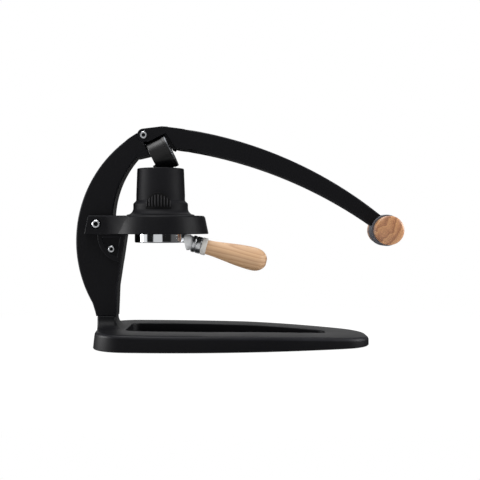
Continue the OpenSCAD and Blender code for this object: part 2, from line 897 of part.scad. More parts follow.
module handle_neck() {
  color(chrome)
    difference() {
      intersection() {
        along_handle() cylinder(r1 = 13.5, r2 = 9.2, h = neck_len);
        translate([0, -50, 0]) cube([200, 100, yoke_z - run_gap - 0.3]);
      }
      translate([0, 0, head_low_z - 40]) cylinder(r = head_r + seat_gap, h = 100);
      along_handle(-1) cylinder(r = 4 + seat_gap, h = 60);
    }
}

module handle_ferrule() {
  color(steel)
    along_handle(neck_len)
      rotate_extrude()
        polygon([[4 + seat_gap, 0], [ferrule_r - 1, 0], [ferrule_r, 1], [ferrule_r, 4.5], [ferrule_r - 0.8, 5],
          [ferrule_r - 0.8, 6], [ferrule_r, 6.5], [ferrule_r, ferrule_len - 1], [ferrule_r - 1, ferrule_len - 0.4],
          [ferrule_r - 1, ferrule_len], [ferrule_r + 0.3, ferrule_len], [ferrule_r + 0.3, ferrule_len + collar_len],
          [4 + seat_gap, ferrule_len + collar_len]]);
}

// Radius of the wooden grip at a share of its length.
function wood_at(t) = t < 0.78
  ? wood_r0 + (wood_r - wood_r0) * pow(sin(90 * t / 0.78), 1.6)
  : wood_r * sqrt(1 - pow((t - 0.78) / 0.23, 2.2));

module handle_wood() {
  steps = 14;
  color(wood)
    along_handle(neck_len + ferrule_len + collar_len)
      rotate_extrude()
        polygon(concat([[0, 0]], [for (i = [0 : steps]) [wood_at(i / steps), wood_len * i / steps]],
          [[0, wood_len]]));
}

place() base_casting();
place() feet();
place() drip_tray();
place() drip_grate();
place() post();
place() post_bolts();
place() yoke();
place() yoke_screws();
place() lug_screws();
place() brew_cylinder();
place() grip_pads();
place() group_gasket();
place() shower_screen();
place() lever_arm();
place() pivot_bolt();
place() handle_hub();
place() handle_rod();
place() handle_grips();
place() gauge_case();
place() gauge_screw();
place() gauge_dial();
place() gauge_glass();
place() gauge_bezel();
place() gauge_needle();
place() plunger();
place() piston_seal();
place() portafilter_head();
place() filter_basket();
place() handle_neck();
place() handle_ferrule();
place() handle_wood();
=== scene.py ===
"""Looks of a lever-press manual espresso maker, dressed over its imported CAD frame.

Every Blender object is in metres in the frame of the CAD: +X runs along the lever, +Z is up and
the brew axis stands at x = -106.25 mm. Sizes in the classes below are in millimetres.
"""

import json
import logging
import math
from dataclasses import dataclass
from enum import Enum
from typing import Callable, Sequence

import bmesh
import bpy
from mathutils import Euler, Matrix, Vector

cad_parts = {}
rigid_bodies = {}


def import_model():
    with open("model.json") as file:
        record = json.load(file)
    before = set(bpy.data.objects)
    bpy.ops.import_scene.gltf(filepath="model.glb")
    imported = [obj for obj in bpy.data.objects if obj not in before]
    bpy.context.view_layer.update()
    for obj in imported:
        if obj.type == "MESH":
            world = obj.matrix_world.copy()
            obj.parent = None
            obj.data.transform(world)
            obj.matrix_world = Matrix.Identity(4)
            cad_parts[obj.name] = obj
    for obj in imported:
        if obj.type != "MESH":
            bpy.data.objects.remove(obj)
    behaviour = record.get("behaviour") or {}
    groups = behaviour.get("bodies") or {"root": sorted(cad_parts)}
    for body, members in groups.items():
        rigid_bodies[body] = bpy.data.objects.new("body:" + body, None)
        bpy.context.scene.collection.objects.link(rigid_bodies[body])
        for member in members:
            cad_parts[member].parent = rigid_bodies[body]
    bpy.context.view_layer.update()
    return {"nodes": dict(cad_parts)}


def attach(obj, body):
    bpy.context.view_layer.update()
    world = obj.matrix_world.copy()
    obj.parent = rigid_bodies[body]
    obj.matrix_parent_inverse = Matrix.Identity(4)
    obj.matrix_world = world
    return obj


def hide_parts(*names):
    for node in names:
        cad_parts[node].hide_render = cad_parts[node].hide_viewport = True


for _stale in list(bpy.data.objects):
    bpy.data.objects.remove(_stale)
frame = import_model()

LOG = logging.getLogger("espresso_maker")
MM = 0.001
Point2 = tuple[float, float]
Point3 = tuple[float, float, float]
Spot = tuple[Vector, Vector]
Inputs = dict[str | int, object]
Socket = bpy.types.NodeSocket
Piece = bpy.types.Object
Ring = list[bmesh.types.BMVert]
Width = float | Callable[[Vector], float]


class Body(str, Enum):
    """The CAD bodies that pieces ride on."""

    FRAME = "frame"
    LEVER = "lever"
    NEEDLE = "needle"
    PLUNGER = "plunger_body"
    PORTAFILTER = "portafilter"
    TRAY = "tray"


class Slot(str, Enum):
    """The record's material slots."""

    BLACK_COAT = "black_coat"
    BREW_BLACK = "brew_black"
    TRAY_BLACK = "tray_black"
    PAD_RUBBER = "pad_rubber"
    FOOT_RUBBER = "foot_rubber"
    STEEL = "steel"
    CHROME = "chrome"
    DIAL = "dial_white"
    NEEDLE = "needle_red"
    WOOD = "wood"


def linear(code: str) -> tuple[float, float, float, float]:
    """Turns an sRGB hex colour into a linear one.

    Args:
        code: Colour such as "#d9b384".

    Returns:
        Linear red, green, blue and an alpha of 1.
    """
    parts = [int(code[i:i + 2], 16) / 255 for i in (1, 3, 5)]
    r, g, b = (c / 12.92 if c <= 0.04045 else ((c + 0.055) / 1.055) ** 2.4 for c in parts)
    return r, g, b, 1.0


def add_node(tree: bpy.types.NodeTree, kind: str, inputs: Inputs | None = None,
             **settings: object) -> bpy.types.Node:
    """Adds one node, sets its properties, and sets or links its inputs.

    Args:
        tree: Tree that the node goes into.
        kind: Blender's name of the node type.
        inputs: Input name or index to a value, or to what is linked to it: a socket, a node for its
            first output, or a list of them.
        settings: Properties of the node.

    Returns:
        The new node.
    """
    made = tree.nodes.new(kind)
    for key, value in settings.items():
        setattr(made, key, value)
    for key, value in (inputs or {}).items():
        for source in value if isinstance(value, list) else [value]:
            if isinstance(source, bpy.types.Node):
                source = source.outputs[0]
            if isinstance(source, Socket):
                tree.links.new(source, made.inputs[key])
            else:
                made.inputs[key].default_value = source
    return made


@dataclass(frozen=True)
class MainAxes:
    """Places of the main axes as X and Z, their tilts in degrees, and half the width of post and lever."""

    brew_x: float = -106.25
    pivot: Point2 = (-127.25, 279.5)
    gauge: Point2 = (-104.714, 256.335)
    gauge_tilt: float = 26.0
    neck: Point2 = (-76.25, 138.5)
    handle_tilt: float = 14.3
    hub: Point2 = (196.75, 153.0)
    arm_half: float = 18.0

    @staticmethod
    def at(place: Point2, turn: Point3) -> Matrix:
        """Axes at a place of X and Z, turned by degrees about each of them."""
        spin = Euler([math.radians(a) for a in turn]).to_matrix().to_4x4()
        return Matrix.Translation((place[0] * MM, 0, place[1] * MM)) @ spin

    def brew(self) -> Matrix:
        """Axes of the brew group: Z up along the brew axis."""
        return Matrix.Translation((self.brew_x * MM, 0, 0))

    def dial(self) -> Matrix:
        """Axes of the gauge: Z out of its face, X down along it."""
        return self.at(self.gauge, (0, 90 - self.gauge_tilt, 0))

    def handle(self) -> Matrix:
        """Axes of the portafilter's handle: Z outwards along it."""
        return self.at(self.neck, (0, 90 + self.handle_tilt, 0))

    def cross_bar(self, side: int) -> Matrix:
        """Axes of one cross-bar grip: Z outwards from the hub on side -1 or 1."""
        return self.at(self.hub, (-90 * side, 0, 0))


AXES = MainAxes()


# Finishes


@dataclass(frozen=True)
class Finish:
    """A surface finish that makes its material once."""

    name: str

    def material(self) -> bpy.types.Material:
        """Makes the finish's material on first use.

        Returns:
            The material.
        """
        found = bpy.data.materials.get(self.name)
        if found is not None:
            return found
        made = bpy.data.materials.new(self.name)
        made.use_nodes = True
        tree = made.node_tree
        tree.nodes.clear()
        pattern = self.wire(tree, add_node(tree, "ShaderNodeTexCoord"))
        shader = add_node(tree, "ShaderNodeBsdfPrincipled", pattern)
        add_node(tree, "ShaderNodeOutputMaterial", {"Surface": shader})
        return made

    def wire(self, tree: bpy.types.NodeTree, coord: bpy.types.Node) -> Inputs:
        """Wires the finish's pattern.

        Args:
            tree: The material's node tree.
            coord: Its Texture Coordinate node.

        Returns:
            What the inputs of the Principled shader are set or linked to.
        """
        raise NotImplementedError


@dataclass(frozen=True)
class CoatedMetal(Finish):
    """Baked powder coat on cast or sheet aluminium: deep satin black, a faint orange-peel skin, and
    rounded edges that are smoother and carry a painted highlight, a little lighter in colour."""

    colour: str = "#0a0a0d"
    # The lighter colour of the painted highlight on rounded edges.
    edge_highlight: str = "#1d1d21"
    roughness: float = 0.5
    specular: float = 0.11
    peel_mm: float = 1.1  # real peel is about 0.4 mm, drawn coarser so that close views show it
    peel_deep_mm: float = 0.4
    peel: float = 0.05
    cloud_mm: float = 55.0
    cloud_gloss: Point2 = (-0.04, 0.05)
    edge_gloss: float = -0.06

    def wire(self, tree: bpy.types.NodeTree, coord: bpy.types.Node) -> Inputs:
        """Wires peel, cloudy gloss, and smoother edges with a painted highlight.

        Args:
            tree: The material's node tree.
            coord: Its Texture Coordinate node.

        Returns:
            Inputs of the Principled shader.
        """
        place = coord.outputs["Object"]
        skin = add_node(tree, "ShaderNodeTexNoise", {
            "Vector": place, "Scale": 1 / (self.peel_mm * MM), "Detail": 2.0, "Roughness": 0.55})
        cloud = add_node(tree, "ShaderNodeTexNoise", {
            "Vector": place, "Scale": 1 / (self.cloud_mm * MM), "Detail": 3.0, "Roughness": 0.6})
        # Painted highlight: the middle of each rounding is painted towards the lighter colour, and made
        # smoother.
        rim = add_node(tree, "ShaderNodeAttribute", attribute_name="rim").outputs["Fac"]
        edge_highlight_share = add_node(tree, "ShaderNodeMath", {0: rim, 1: cloud}, operation="MULTIPLY")
        tone = add_node(tree, "ShaderNodeMix", {
            0: edge_highlight_share, 6: linear(self.colour), 7: linear(self.edge_highlight)}, data_type="RGBA")
        gloss = add_node(tree, "ShaderNodeMapRange", {
            "Value": cloud, "From Min": 0.3, "From Max": 0.7,
            "To Min": self.roughness + self.cloud_gloss[0], "To Max": self.roughness + self.cloud_gloss[1]})
        edge = add_node(tree, "ShaderNodeMath", {0: rim, 1: self.edge_gloss, 2: gloss},
                        operation="MULTIPLY_ADD")
        bump = add_node(tree, "ShaderNodeBump", {
            "Height": skin, "Strength": self.peel, "Distance": self.peel_deep_mm * MM})
        return {"Base Color": tone.outputs[2], "Roughness": edge, "Normal": bump,
                "Specular IOR Level": self.specular}


@dataclass(frozen=True)
class Moulded(Finish):
    """Moulded rubber, silicone or plastic: one body colour with dusty mottling and a spark-eroded
    grain that breaks up the highlight."""

    colour: str = "#141416"
    dust: str = "#212124"
    roughness: float = 0.7
    specular: float = 0.35
    grain_mm: float = 0.7  # real mould grain is about 0.1 mm, drawn as coarse as it needs to show
    grain_deep_mm: float = 0.3
    grain: float = 0.12
    mottle_mm: float = 9.091
    mottle_gloss: Point2 = (-0.08, 0.1)

    def wire(self, tree: bpy.types.NodeTree, coord: bpy.types.Node) -> Inputs:
        """Wires mottling and grain.

        Args:
            tree: The material's node tree.
            coord: Its Texture Coordinate node.

        Returns:
            Inputs of the Principled shader.
        """
        place = coord.outputs["Object"]
        grain = add_node(tree, "ShaderNodeTexNoise", {
            "Vector": place, "Scale": 1 / (self.grain_mm * MM), "Detail": 3.0})
        mottle = add_node(tree, "ShaderNodeTexNoise", {
            "Vector": place, "Scale": 1 / (self.mottle_mm * MM), "Detail": 4.0})
        tone = add_node(tree, "ShaderNodeMix", {
            0: mottle, 6: linear(self.colour), 7: linear(self.dust)}, data_type="RGBA")
        gloss = add_node(tree, "ShaderNodeMapRange", {
            "Value": mottle, "To Min": self.roughness + self.mottle_gloss[0],
            "To Max": self.roughness + self.mottle_gloss[1]})
        bump = add_node(tree, "ShaderNodeBump", {
            "Height": grain, "Strength": self.grain, "Distance": self.grain_deep_mm * MM})
        return {"Base Color": tone.outputs[2], "Roughness": gloss, "Normal": bump,
                "Specular IOR Level": self.specular}


@dataclass(frozen=True)
class Metal(Finish):
    """Bare stainless steel or chrome plate: mirror to satin, with fine tool marks that run round the
    turned piece and a cloudy wipe-down haze."""

    colour: str = "#c8cacd"
    haze: str = "#b6b8bb"
    roughness: float = 0.25
    spread: float = 0.08
    least: float = 0.02
    mark_mm: float = 0.6  # turning marks are about 0.1 mm, drawn coarser so that close views show them
    mark_deep_mm: float = 0.2
    mark: float = 0.04
    mark_run: Point3 = (0.04, 0.04, 1.0)  # how far the marks are drawn out round the axis
    haze_mm: float = 16.667
    metallic: float = 1.0  # less where a rough casting under the plate scatters the light
    turn: Point3 = (0.0, 0.0, 0.0)

    def wire(self, tree: bpy.types.NodeTree, coord: bpy.types.Node) -> Inputs:
        """Wires tool marks and haze.

        Args:
            tree: The material's node tree.
            coord: Its Texture Coordinate node.

        Returns:
            Inputs of the Principled shader.
        """
        place = coord.outputs["Object"]
        lined = add_node(tree, "ShaderNodeMapping", {"Vector": place, "Rotation": self.turn})
        along = add_node(tree, "ShaderNodeVectorMath", {0: lined, 1: self.mark_run}, operation="MULTIPLY")
        marks = add_node(tree, "ShaderNodeTexNoise", {
            "Vector": along, "Scale": 1 / (self.mark_mm * MM), "Detail": 2.0})
        haze = add_node(tree, "ShaderNodeTexNoise", {
            "Vector": place, "Scale": 1 / (self.haze_mm * MM), "Detail": 3.0})
        tone = add_node(tree, "ShaderNodeMix", {
            0: haze, 6: linear(self.colour), 7: linear(self.haze)}, data_type="RGBA")
        both = add_node(tree, "ShaderNodeMath", {0: marks, 1: haze}, operation="MULTIPLY")
        gloss = add_node(tree, "ShaderNodeMapRange", {
            "Value": both, "From Min": 0.12, "From Max": 0.4,
            "To Min": max(self.least, self.roughness - self.spread), "To Max": self.roughness + self.spread})
        bump = add_node(tree, "ShaderNodeBump", {
            "Height": marks, "Strength": self.mark, "Distance": self.mark_deep_mm * MM})
        return {"Base Color": tone.outputs[2], "Roughness": gloss, "Normal": bump, "Metallic": self.metallic}


@dataclass(frozen=True)
class OiledWood(Finish):
    """Oiled pale hardwood turned on a lathe: honey-coloured long grain with fine fibres and short
    flecks, and darker end grain where the oil soaks in and the growth rings show as arcs."""

    light: str = "#be9b79"
    dark: str = "#b4916f"
    late: str = "#a5805d"
    end: str = "#8b6549"
    soak: float = 0.62
    ring_mm: float = 5.5
    sway_mm: float = 9.0
    sway_step_mm: float = 18.182
    fibre_mm: float = 0.8
    fibre_deep_mm: float = 0.3
    fibre: float = 0.08
    fleck_mm: float = 0.55
    roughness: float = 0.48
    fibre_gloss: Point2 = (-0.08, 0.12)
    specular: float = 0.4
    turn: Point3 = (0.0, 0.0, 0.0)
    axis_point: Point3 = (0.0, 0.0, 0.0)
    pith_mm: Point2 = (34.0, 18.0)

    def wire(self, tree: bpy.types.NodeTree, coord: bpy.types.Node) -> Inputs:
        """Wires rings about an offset pith, fibres, flecks and end grain.

        Args:
            tree: The material's node tree.
            coord: Its Texture Coordinate node.

        Returns:
            Inputs of the Principled shader.
        """
        turned = Euler(self.turn).to_matrix() @ Vector(self.axis_point)
        pith = (self.pith_mm[0] * MM - turned.x, self.pith_mm[1] * MM - turned.y, -turned.z)
        lined = add_node(tree, "ShaderNodeMapping", {
            "Vector": coord.outputs["Object"], "Rotation": self.turn, "Location": pith})
        # Sway, fibres and flecks are all drawn out along the grain, each by its own share.
        slow, thread, dash = (
            add_node(tree, "ShaderNodeVectorMath", {0: lined, 1: (1.0, 1.0, share)}, operation="MULTIPLY")
            for share in (0.12, 0.025, 0.16))
        sway = add_node(tree, "ShaderNodeTexNoise", {
            "Vector": slow, "Scale": 1 / (self.sway_step_mm * MM), "Detail": 2.0})
        shift = add_node(tree, "ShaderNodeVectorMath", {
            0: sway.outputs["Color"], 1: (self.sway_mm * MM, self.sway_mm * MM, 0.0), 2: lined},
            operation="MULTIPLY_ADD")
        flat = add_node(tree, "ShaderNodeVectorMath", {0: shift, 1: (1.0, 1.0, 0.0)}, operation="MULTIPLY")
        radius = add_node(tree, "ShaderNodeVectorMath", {0: flat}, operation="LENGTH")
        turns = add_node(tree, "ShaderNodeMath", {0: radius.outputs["Value"], 1: 1 / (self.ring_mm * MM)},
                         operation="MULTIPLY")
        saw = add_node(tree, "ShaderNodeMath", {0: turns}, operation="FRACT")
        rings = add_node(tree, "ShaderNodeValToRGB", {0: saw})
        stops = rings.color_ramp.elements
        stops[0].color, stops[1].color = linear(self.light), linear(self.light)
        for spot, code in ((0.55, self.dark), (0.86, self.late), (0.95, self.dark)):
            stops.new(spot).color = linear(code)
        fibre = add_node(tree, "ShaderNodeTexNoise", {
            "Vector": thread, "Scale": 1 / (self.fibre_mm * MM), "Detail": 3.0, "Roughness": 0.6})
        fleck = add_node(tree, "ShaderNodeTexNoise", {
            "Vector": dash, "Scale": 1 / (self.fleck_mm * MM), "Detail": 1.0})
        facing = add_node(tree, "ShaderNodeMapping", {
            "Vector": coord.outputs["Normal"], "Rotation": self.turn}, vector_type="VECTOR")
        split = add_node(tree, "ShaderNodeSeparateXYZ", {0: facing})
        ends = add_node(tree, "ShaderNodeMath", {0: split.outputs[2]}, operation="ABSOLUTE")
        # Streaks, flecks and soaked ends lie over the rings one after the other.
        tone = rings.outputs[0]
        for mask, low, high, most, code in (
                (fibre, 0.45, 0.75, 0.4, self.dark), (fleck, 0.64, 0.74, 0.5, self.late),
                (ends, 0.72, 0.97, self.soak, self.end)):
            share = add_node(tree, "ShaderNodeMapRange", {
                "Value": mask, "From Min": low, "From Max": high, "To Min": 0.0, "To Max": most})
            over = add_node(tree, "ShaderNodeMix", {0: share, 6: tone, 7: linear(code)}, data_type="RGBA")
            tone = over.outputs[2]
        gloss = add_node(tree, "ShaderNodeMapRange", {
            "Value": fibre, "To Min": self.roughness + self.fibre_gloss[0],
            "To Max": self.roughness + self.fibre_gloss[1]})
        bump = add_node(tree, "ShaderNodeBump", {
            "Height": fibre, "Strength": self.fibre, "Distance": self.fibre_deep_mm * MM})
        return {"Base Color": tone, "Roughness": gloss, "Normal": bump, "Specular IOR Level": self.specular}


@dataclass(frozen=True)
class ClearGlass(Finish):
    """Flat soda-lime gauge glass: clear, with a faint wiped film that only the highlight shows."""

    tint: str = "#f4f8f8"
    ior: float = 1.5
    film_mm: float = 5.556
    film: float = 0.05

    def wire(self, tree: bpy.types.NodeTree, coord: bpy.types.Node) -> Inputs:
        """Wires the wiped film.

        Args:
            tree: The material's node tree.
            coord: Its Texture Coordinate node.

        Returns:
            Inputs of the Principled shader.
        """
        film = add_node(tree, "ShaderNodeTexNoise", {
            "Vector": coord.outputs["Object"], "Scale": 1 / (self.film_mm * MM), "Detail": 3.0})
        gloss = add_node(tree, "ShaderNodeMapRange", {"Value": film, "To Min": 0.0, "To Max": self.film})
        return {"Base Color": linear(self.tint), "Roughness": gloss, "Transmission Weight": 1.0,
                "IOR": self.ior}


ALONG_HANDLE = (0.0, -math.radians(90 + AXES.handle_tilt), 0.0)
ALONG_BAR = (math.radians(90), 0.0, 0.0)

# The second colour of each coat is the painted highlight on its rounded edges.
# Cast aluminium under baked powder: deep black, with a broad dull sheen.
CASTING = CoatedMetal("powder_coated_cast_aluminium")
# Lacquered sheet-metal can: a tighter, brighter highlight on a blacker ground.
CAN_COAT = CoatedMetal("glossy_black_lacquer_gauge_can", colour="#050506", edge_highlight="#0c0c0e", roughness=0.3,
                       specular=0.35, peel=0.02)
# Anodised aluminium: mid grey, with a clear sheen down its side.
HUB_COAT = CoatedMetal("grey_anodised_hub", colour="#46464c", edge_highlight="#55555b", roughness=0.42, specular=0.45)
# Thicker powder on the cylinder: a shade lighter, with a stronger peel.
BREW_COAT = CoatedMetal("powder_coated_brew_cylinder", colour="#0f0f12", edge_highlight="#222226", roughness=0.55,
                        peel=0.07)
# Powder on thin sheet: smoother than on a casting.
SHEET_COAT = CoatedMetal("powder_coated_sheet", colour="#101013", roughness=0.46)
# Rubber between the ribs, painted darker than the ribs as painted shade in the grooves: almost without light.
PAD_SHADED = Moulded("black_rubber_pad_painted_shade", colour="#040405", dust="#0a0a0b", specular=0.12)
# The same rubber on the ribs, painted lighter as a painted highlight: they catch a thin line of light.
PAD_RIB_LIT = Moulded("black_rubber_rib_painted_highlight", colour="#131316", dust="#1c1c20", roughness=0.55)
# Rubber of feet and seal: dusty and quite dull.
FOOT = Moulded("moulded_black_rubber_foot", colour="#151516", dust="#242426", roughness=0.78)
# Painted shade: a dark disc deep in a screw's socket, where the hexagon's hollow lies in shade; a dark spot in
# the bright head.
SOCKET_SHADE = Moulded("painted_shade_socket_disc", colour="#050505", dust="#0a0a0a", roughness=0.8, specular=0.05)
# Silicone rubber: brick red, with a soft waxy sheen.
SILICONE = Moulded("moulded_red_silicone", colour="#8e4634", dust="#a2584a", roughness=0.6)
# Turned stainless steel: grey, with highlights drawn out by the tool.
STEEL = Metal("turned_stainless_steel")
# The same on the ferrule, finer and lighter, with marks round the handle.
FERRULE = Metal("turned_stainless_ferrule", colour="#dcddde", roughness=0.32, turn=ALONG_HANDLE, mark=0.06)
# Polished chrome plate: a mirror with hard light and dark bands.
CHROME = Metal("polished_chrome_plate", colour="#e2e4e7", haze="#d6d8db", roughness=0.07, spread=0.03,
               mark=0.01)
# Chrome over a rough casting: pale and silky, with broken highlights.
NECK = Metal("satin_chrome_casting", colour="#eceded", haze="#d9dadc", roughness=0.55, spread=0.16,
             mark_mm=4.0, mark=0.5, metallic=0.4)
# Moulded plastic collar: pale warm grey without a mirror.
COLLAR = Moulded("moulded_pale_grey_collar", colour="#c9c7c3", dust="#b7b4af", roughness=0.5)
# Black nickel plate: a dark metal edge with a narrow bright line.
BEZEL = Metal("satin_black_nickel_bezel", colour="#6d6f73", haze="#606266", roughness=0.38)
# Printed aluminium dial: flat warm white.
DIAL = Moulded("printed_white_dial", colour="#f0efeb", dust="#e6e5e0", roughness=0.4, grain=0.02)
# Screen ink: flat black on the dial.
INK = Moulded("printed_black_ink", colour="#121212", dust="#1c1c1c", roughness=0.5, grain=0.02)
# Enamel paint on the needle: signal red.
NEEDLE = Moulded("painted_red_needle", colour="#b3271d", dust="#a02118", roughness=0.4, grain=0.02)
# Soda-lime glass: clear, seen by its highlight alone.
GLASS = ClearGlass("flat_gauge_glass")
# Oiled beech along the grain: pale honey with fine lines.
GRIP_WOOD = OiledWood("oiled_beech_portafilter_grip", turn=ALONG_HANDLE,
                      axis_point=(AXES.neck[0] * MM, 0.0, AXES.neck[1] * MM))
# Oiled beech seen on its end grain: browner, with wide swaying rings and a soft shine.
BAR_WOOD = OiledWood("oiled_beech_cross_bar", turn=ALONG_BAR,
                     axis_point=(AXES.hub[0] * MM, 0.0, AXES.hub[1] * MM), pith_mm=(7.0, 5.0), ring_mm=10.0,
                     sway_mm=26.0, light="#ab8059", dark="#966a4b", late="#7b533a", end="#8e6246", soak=0.2,
                     roughness=0.3)


# Mesh making


def from_bmesh(name: str, bm: bmesh.types.BMesh, sharp: float = 35.0) -> Piece:
    """Makes an object from a bmesh, smooth except at sharp edges.

    Args:
        name: Name of the piece.
        bm: The mesh, in metres, which is freed.
        sharp: Angle in degrees above which an edge stays sharp.

    Returns:
        The new object, linked to the scene.
    """
    mesh = bpy.data.meshes.new(name)
    bm.normal_update()
    bm.to_mesh(mesh)
    bm.free()
    mesh.shade_smooth()
    mesh.set_sharp_from_angle(angle=math.radians(sharp))
    piece = bpy.data.objects.new(name, mesh)
    bpy.context.scene.collection.objects.link(piece)
    return piece


def settle(piece: Piece) -> Piece:
    """Turns a piece with modifiers into a plain mesh.

    Args:
        piece: Object whose modifiers are evaluated and removed.

    Returns:
        The same object.
    """
    graph = bpy.context.evaluated_depsgraph_get()
    graph.update()
    plain = bpy.data.meshes.new_from_object(piece.evaluated_get(graph))
    plain.name = piece.name
    piece.modifiers.clear()
    piece.data = plain
    return piece


def arc(mid: Point2, radius: float, first: float, last: float, steps: int) -> list[Point2]:
    """Lays points along an arc.

    Args:
        mid: Its centre.
        radius: Its radius.
        first: Angle of the first point in degrees.
        last: Angle of the last one.
        steps: Divisions between them.

    Returns:
        The points, one more than the divisions.
    """
    angles = [math.radians(first + (last - first) * k / steps) for k in range(steps + 1)]
    return [(mid[0] + radius * math.cos(a), mid[1] + radius * math.sin(a)) for a in angles]


def quarter(steps: int) -> list[Point2]:
    """1 - cosine and 1 - sine at each step of a quarter turn."""
    return [(1 - x, 1 - y) for x, y in arc((0, 0), 1, 0, 90, steps)]


def stitch(bm: bmesh.types.BMesh, rings: Sequence[Ring], closed: bool = False, capped: bool = False) -> None:
    """Joins neighbouring rings of vertices by faces that point outwards.

    Args:
        bm: Mesh that the rings are in.
        rings: Rings of equal length; a ring of one vertex is a point on the axis.
        closed: Whether the last ring joins the first.
        capped: Whether the first and the last ring each get a face.
    """
    faces = [bm.faces.new(ring) for ring in (rings[0], rings[-1])] if capped else []
    for a, b in zip(rings, [*rings[1:], rings[0]] if closed else rings[1:]):
        count = max(len(a), len(b))
        for k in range(count if count > 1 else 0):
            n = (k + 1) % count
            corners = (a[k % len(a)], a[n % len(a)], b[n % len(b)], b[k % len(b)])
            faces.append(bm.faces.new(tuple(dict.fromkeys(corners))))
    bmesh.ops.recalc_face_normals(bm, faces=faces)


def lathe(name: str, section: Sequence[Point2], axes: Matrix, steps: int = 96, sharp: float = 40.0) -> Piece:
    """Turns a closed half section about an axis.

    Args:
        name: Name of the piece.
        section: Radius and height of each point in mm, round the section; radius 0 lies on the axis.
        axes: Where the axis is, with Z along it.
        steps: Divisions round the axis.
        sharp: Angle in degrees above which an edge stays sharp.

    Returns:
        The turned piece.
    """
    bm = bmesh.new()
    on_axis = 1e-6
    rings = [[bm.verts.new((x * MM, y * MM, z * MM)) for x, y in arc((0, 0), r, 0, 360, steps)[:-1]]
             if r > on_axis else [bm.verts.new((0, 0, z * MM))] for r, z in section]
    stitch(bm, rings, closed=True)
    bmesh.ops.transform(bm, matrix=axes, verts=bm.verts)
    return from_bmesh(name, bm, sharp)


def prism(name: str, outline: Sequence[Point2], spans: Sequence[Point2]) -> Piece:
    """Extrudes an outline of X and Z across one or more spans of Y.

    Args:
        name: Name of the piece.
        outline: Points in mm.
        spans: First and last Y of each prism, in mm.

    Returns:
        The piece.
    """
    bm = bmesh.new()
    for span in spans:
        stitch(bm, [[bm.verts.new((x * MM, y * MM, z * MM)) for x, z in outline] for y in span], capped=True)
    return from_bmesh(name, bm)


def rounded(points: Sequence[Point3], steps: int = 5) -> list[Point2]:
    """Rounds the corners of a section.

    Args:
        points: Radius, height and corner rounding of each corner, in mm.
        steps: Divisions of a rounded corner.

    Returns:
        The section's points, in mm.
    """
    made: list[Point2] = []
    most = 0.48  # share of a side that a corner may take
    for i, (x, y, r) in enumerate(points):
        if r <= 0:
            made.append((x, y))
            continue
        here = Vector((x, y))
        back = Vector(points[i - 1][:2]) - here
        ahead = Vector(points[(i + 1) % len(points)][:2]) - here
        cut = min(r, most * back.length, most * ahead.length)
        a, b = here + back.normalized() * cut, here + ahead.normalized() * cut
        for t in (k / steps for k in range(steps + 1)):
            p = a.lerp(here, t).lerp(here.lerp(b, t), t)
            made.append((p.x, p.y))
    return made


def softened(node: str, name: str, width: Width, steps: int = 3, slide: bool = True,
             sharp: float = 33.0) -> Piece:
    """Copies a CAD node with its loose triangles merged and its sharp edges rounded.

    Args:
        node: CAD node that the piece stands for.
        name: Name of the piece.
        width: Rounding in mm, or what gives it at an edge's middle in mm; 0 leaves an edge sharp.
        steps: Divisions of a rounding.
        slide: Whether a rounding may run along the edges that meet it, rather than keep an even width.
        sharp: Angle in degrees above which an edge is rounded.

    Returns:
        The rounded piece, with a point attribute "rim" that is 1 in the middle of each rounding.
    """
    merge_m, flat_deg, smooth_deg = 4e-6, 0.8, 40.0
    bm = bmesh.new()
    bm.from_mesh(frame["nodes"][node].data)
    bmesh.ops.remove_doubles(bm, verts=bm.verts, dist=merge_m)
    bmesh.ops.dissolve_limit(bm, angle_limit=math.radians(flat_deg), verts=bm.verts, edges=bm.edges)
    rim = bm.verts.layers.float.new("rim")
    groups: dict[float, list[bmesh.types.BMEdge]] = {}
    for edge in bm.edges:
        if len(edge.link_faces) == 2 and edge.calc_face_angle(0.0) > math.radians(sharp):
            middle = (edge.verts[0].co + edge.verts[1].co) / 2 / MM
            groups.setdefault(width(middle) if callable(width) else width, []).append(edge)
    for size in sorted(groups, reverse=True):
        live = [e for e in groups[size] if e.is_valid]
        if size <= 0 or not live:
            continue
        done = bmesh.ops.bevel(bm, geom=live, offset=size * MM, offset_type="OFFSET", segments=steps,
                               profile=0.5, affect="EDGES", clamp_overlap=False, loop_slide=slide,
                               miter_outer="SHARP", miter_inner="SHARP")
        # The middle of each rounding is marked; powder coats paint a highlight there.
        new = set(done["faces"])
        for vert in {v for f in new for v in f.verts}:
            if all(f in new for f in vert.link_faces):
                vert[rim] = 1.0
    piece = from_bmesh(name, bm, smooth_deg)
    piece.modifiers.new("flat_faces", "WEIGHTED_NORMAL").keep_sharp = True
    return settle(piece)


def away(p: Vector, place: Point2) -> float:
    """Distance of a point from a place of X and Z, seen from the side."""
    return math.hypot(p.x - place[0], p.z - place[1])


# Geometry Nodes


